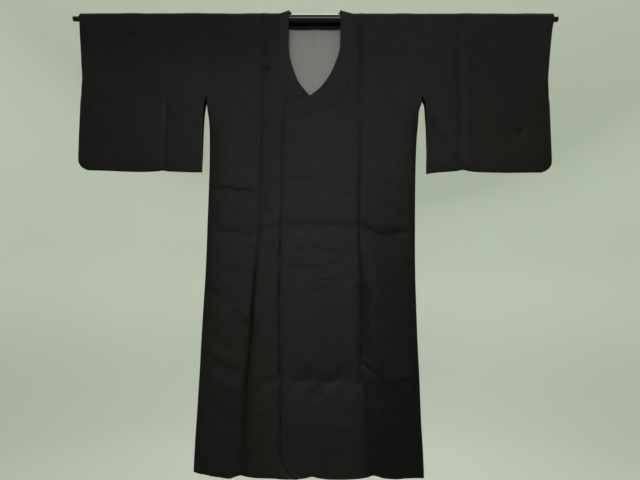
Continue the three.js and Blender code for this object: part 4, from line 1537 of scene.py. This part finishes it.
class COAT_OT_rod(bpy.types.Operator):
    """Make the turned rod, with a tenon at each end"""

    bl_idname = "coat.rod"
    bl_label = "Rod"

    def execute(self, context):
        barrel = ROD_HALF_LENGTH - TENON["length"]
        half = [
            (0, ROD_HALF_LENGTH),
            (TENON["radius"], ROD_HALF_LENGTH),
            (TENON["radius"], barrel),
            (ROD_RADIUS, barrel),
        ]
        profile = half + [(radius, -along) for radius, along in half[::-1]]
        points = [(along * MM, 0, radius * MM) for radius, along in profile]
        bm = spun(points, (1, 0, 0), ROD_SIDES, 0.01 * MM)
        sharp = [edge for edge in bm.edges if edge.calc_face_angle(0) > SHEET_TURN]
        bmesh.ops.bevel(
            bm, geom=sharp, offset=ROD_BEVEL * MM, offset_type="OFFSET", affect="EDGES",
            segments=3, profile=0.5, material=-1,
        )
        bmesh.ops.recalc_face_normals(bm, faces=bm.faces)
        piece = new_object("lacquered_rod", bm)
        piece.data.materials.append(finish_of("black_lacquer", lacquer_finish))
        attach(piece, BODY)
        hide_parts("rod")
        return {"FINISHED"}


class COAT_OT_stage(bpy.types.Operator):
    """Make the floor and wall, the lights and the camera"""

    bl_idname = "coat.stage"
    bl_label = "Stage"

    def execute(self, context):
        scene = context.scene
        stage = scene.coat_stage
        self.make_room(stage)
        self.make_lights(scene, stage)
        self.make_camera(scene)
        return {"FINISHED"}

    def make_room(self, stage):
        """A round floor whose rim sweeps up into the wall."""
        sweep = 1.4
        turns = np.linspace(0, math.pi / 2, 17)
        profile = [(0, -stage.floor), (stage.radius / 2, -stage.floor)]
        profile += [
            (stage.radius - sweep * (1 - math.sin(turn)), -stage.floor + sweep * (1 - math.cos(turn)))
            for turn in turns
        ]
        profile.append((stage.radius, stage.height))
        points = [(radius, 0, height) for radius, height in profile]
        bm = spun(points, (0, 0, 1), ROOM_SIDES, MM)
        bmesh.ops.recalc_face_normals(bm, faces=bm.faces)
        bmesh.ops.reverse_faces(bm, faces=bm.faces)
        room = new_object("studio_room", bm)
        room.data.materials.append(finish_of("studio_paint", wall_finish))

    def make_lights(self, scene, stage):
        lamps = (
            # name, place, aim, size, spread of its beam in degrees, share of the key's power
            ("overhead", (0.1, -2.4, 2.3), (0.0, 0.0, -0.9), 2.4, 180, 0.16),
            ("front", (-0.02, -2.9, 0.05), (0.03, 0.0, -0.8), 1.5, 50, 0.079),
            ("behind", (0.3, 2.6, 1.9), (0.0, 0.0, -0.6), 2.4, 180, 1.3),
        )
        for name, place, aim, size, spread, share in lamps:
            light = bpy.data.lights.new(name, "AREA")
            light.shape = "DISK"
            light.size = size
            light.spread = math.radians(spread)
            light.energy = stage.key * share
            lamp = bpy.data.objects.new(name, light)
            lamp.location = place
            lamp.rotation_euler = (Vector(aim) - Vector(place)).to_track_quat("-Z", "Y").to_euler()
            lamp.visible_camera = False
            scene.collection.objects.link(lamp)
        world = bpy.data.worlds.new("room_light")
        world.use_nodes = True
        sky = world.node_tree.nodes["Background"]
        sky.inputs["Color"].default_value = (0.97, 1.0, 0.94, 1)
        sky.inputs["Strength"].default_value = stage.sky
        scene.world = world
        scene.view_settings.view_transform = "Standard"

    def make_camera(self, scene):
        camera = bpy.data.cameras.new("camera")
        camera.lens = CAMERA["lens"]
        camera.clip_end = 50
        seat = bpy.data.objects.new("camera", camera)
        pitch, roll, yaw = (math.radians(CAMERA[name]) for name in ("pitch", "roll", "yaw"))
        seat.matrix_world = (
            Matrix.Translation(CAMERA["place"])
            @ Matrix.Rotation(yaw, 4, "Z")
            @ Matrix.Rotation(math.pi / 2 + pitch, 4, "X")
            @ Matrix.Rotation(-roll, 4, "Z")
        )
        scene.collection.objects.link(seat)
        scene.camera = seat


PIECES = (
    COAT_OT_stage,
    COAT_OT_rod,
    COAT_OT_bodies,
    COAT_OT_front_panels,
    COAT_OT_sleeves,
    COAT_OT_collar,
    COAT_OT_lining,
    COAT_OT_sewing,
)


class COAT_PT_panel(bpy.types.Panel):
    """Lists the coat's sizes, colours and pieces"""

    bl_idname = "COAT_PT_panel"
    bl_label = "Kimono Coat"
    bl_space_type = "VIEW_3D"
    bl_region_type = "UI"
    bl_category = "Coat"

    def draw(self, context):
        scene = context.scene
        for group in (scene.coat_sizes, scene.coat_colours, scene.coat_stage):
            box = self.layout.box()
            for name in group.__annotations__:
                box.prop(group, name)
        for piece in PIECES:
            self.layout.operator(piece.bl_idname)


GROUPS = {"coat_sizes": CoatSizes, "coat_colours": CoatColours, "coat_stage": StageSettings}


def register():
    for made in (*GROUPS.values(), *PIECES, COAT_PT_panel):
        bpy.utils.register_class(made)
    for name, group in GROUPS.items():
        setattr(bpy.types.Scene, name, bpy.props.PointerProperty(type=group))


def unregister():
    for name in GROUPS:
        delattr(bpy.types.Scene, name)
    for made in (COAT_PT_panel, *PIECES[::-1], *GROUPS.values()):
        bpy.utils.unregister_class(made)


def main():
    register()
    for piece in PIECES:
        group, name = piece.bl_idname.split(".")
        getattr(getattr(bpy.ops, group), name)()
    bpy.context.view_layer.update()


if __name__ == "__main__":
    main()
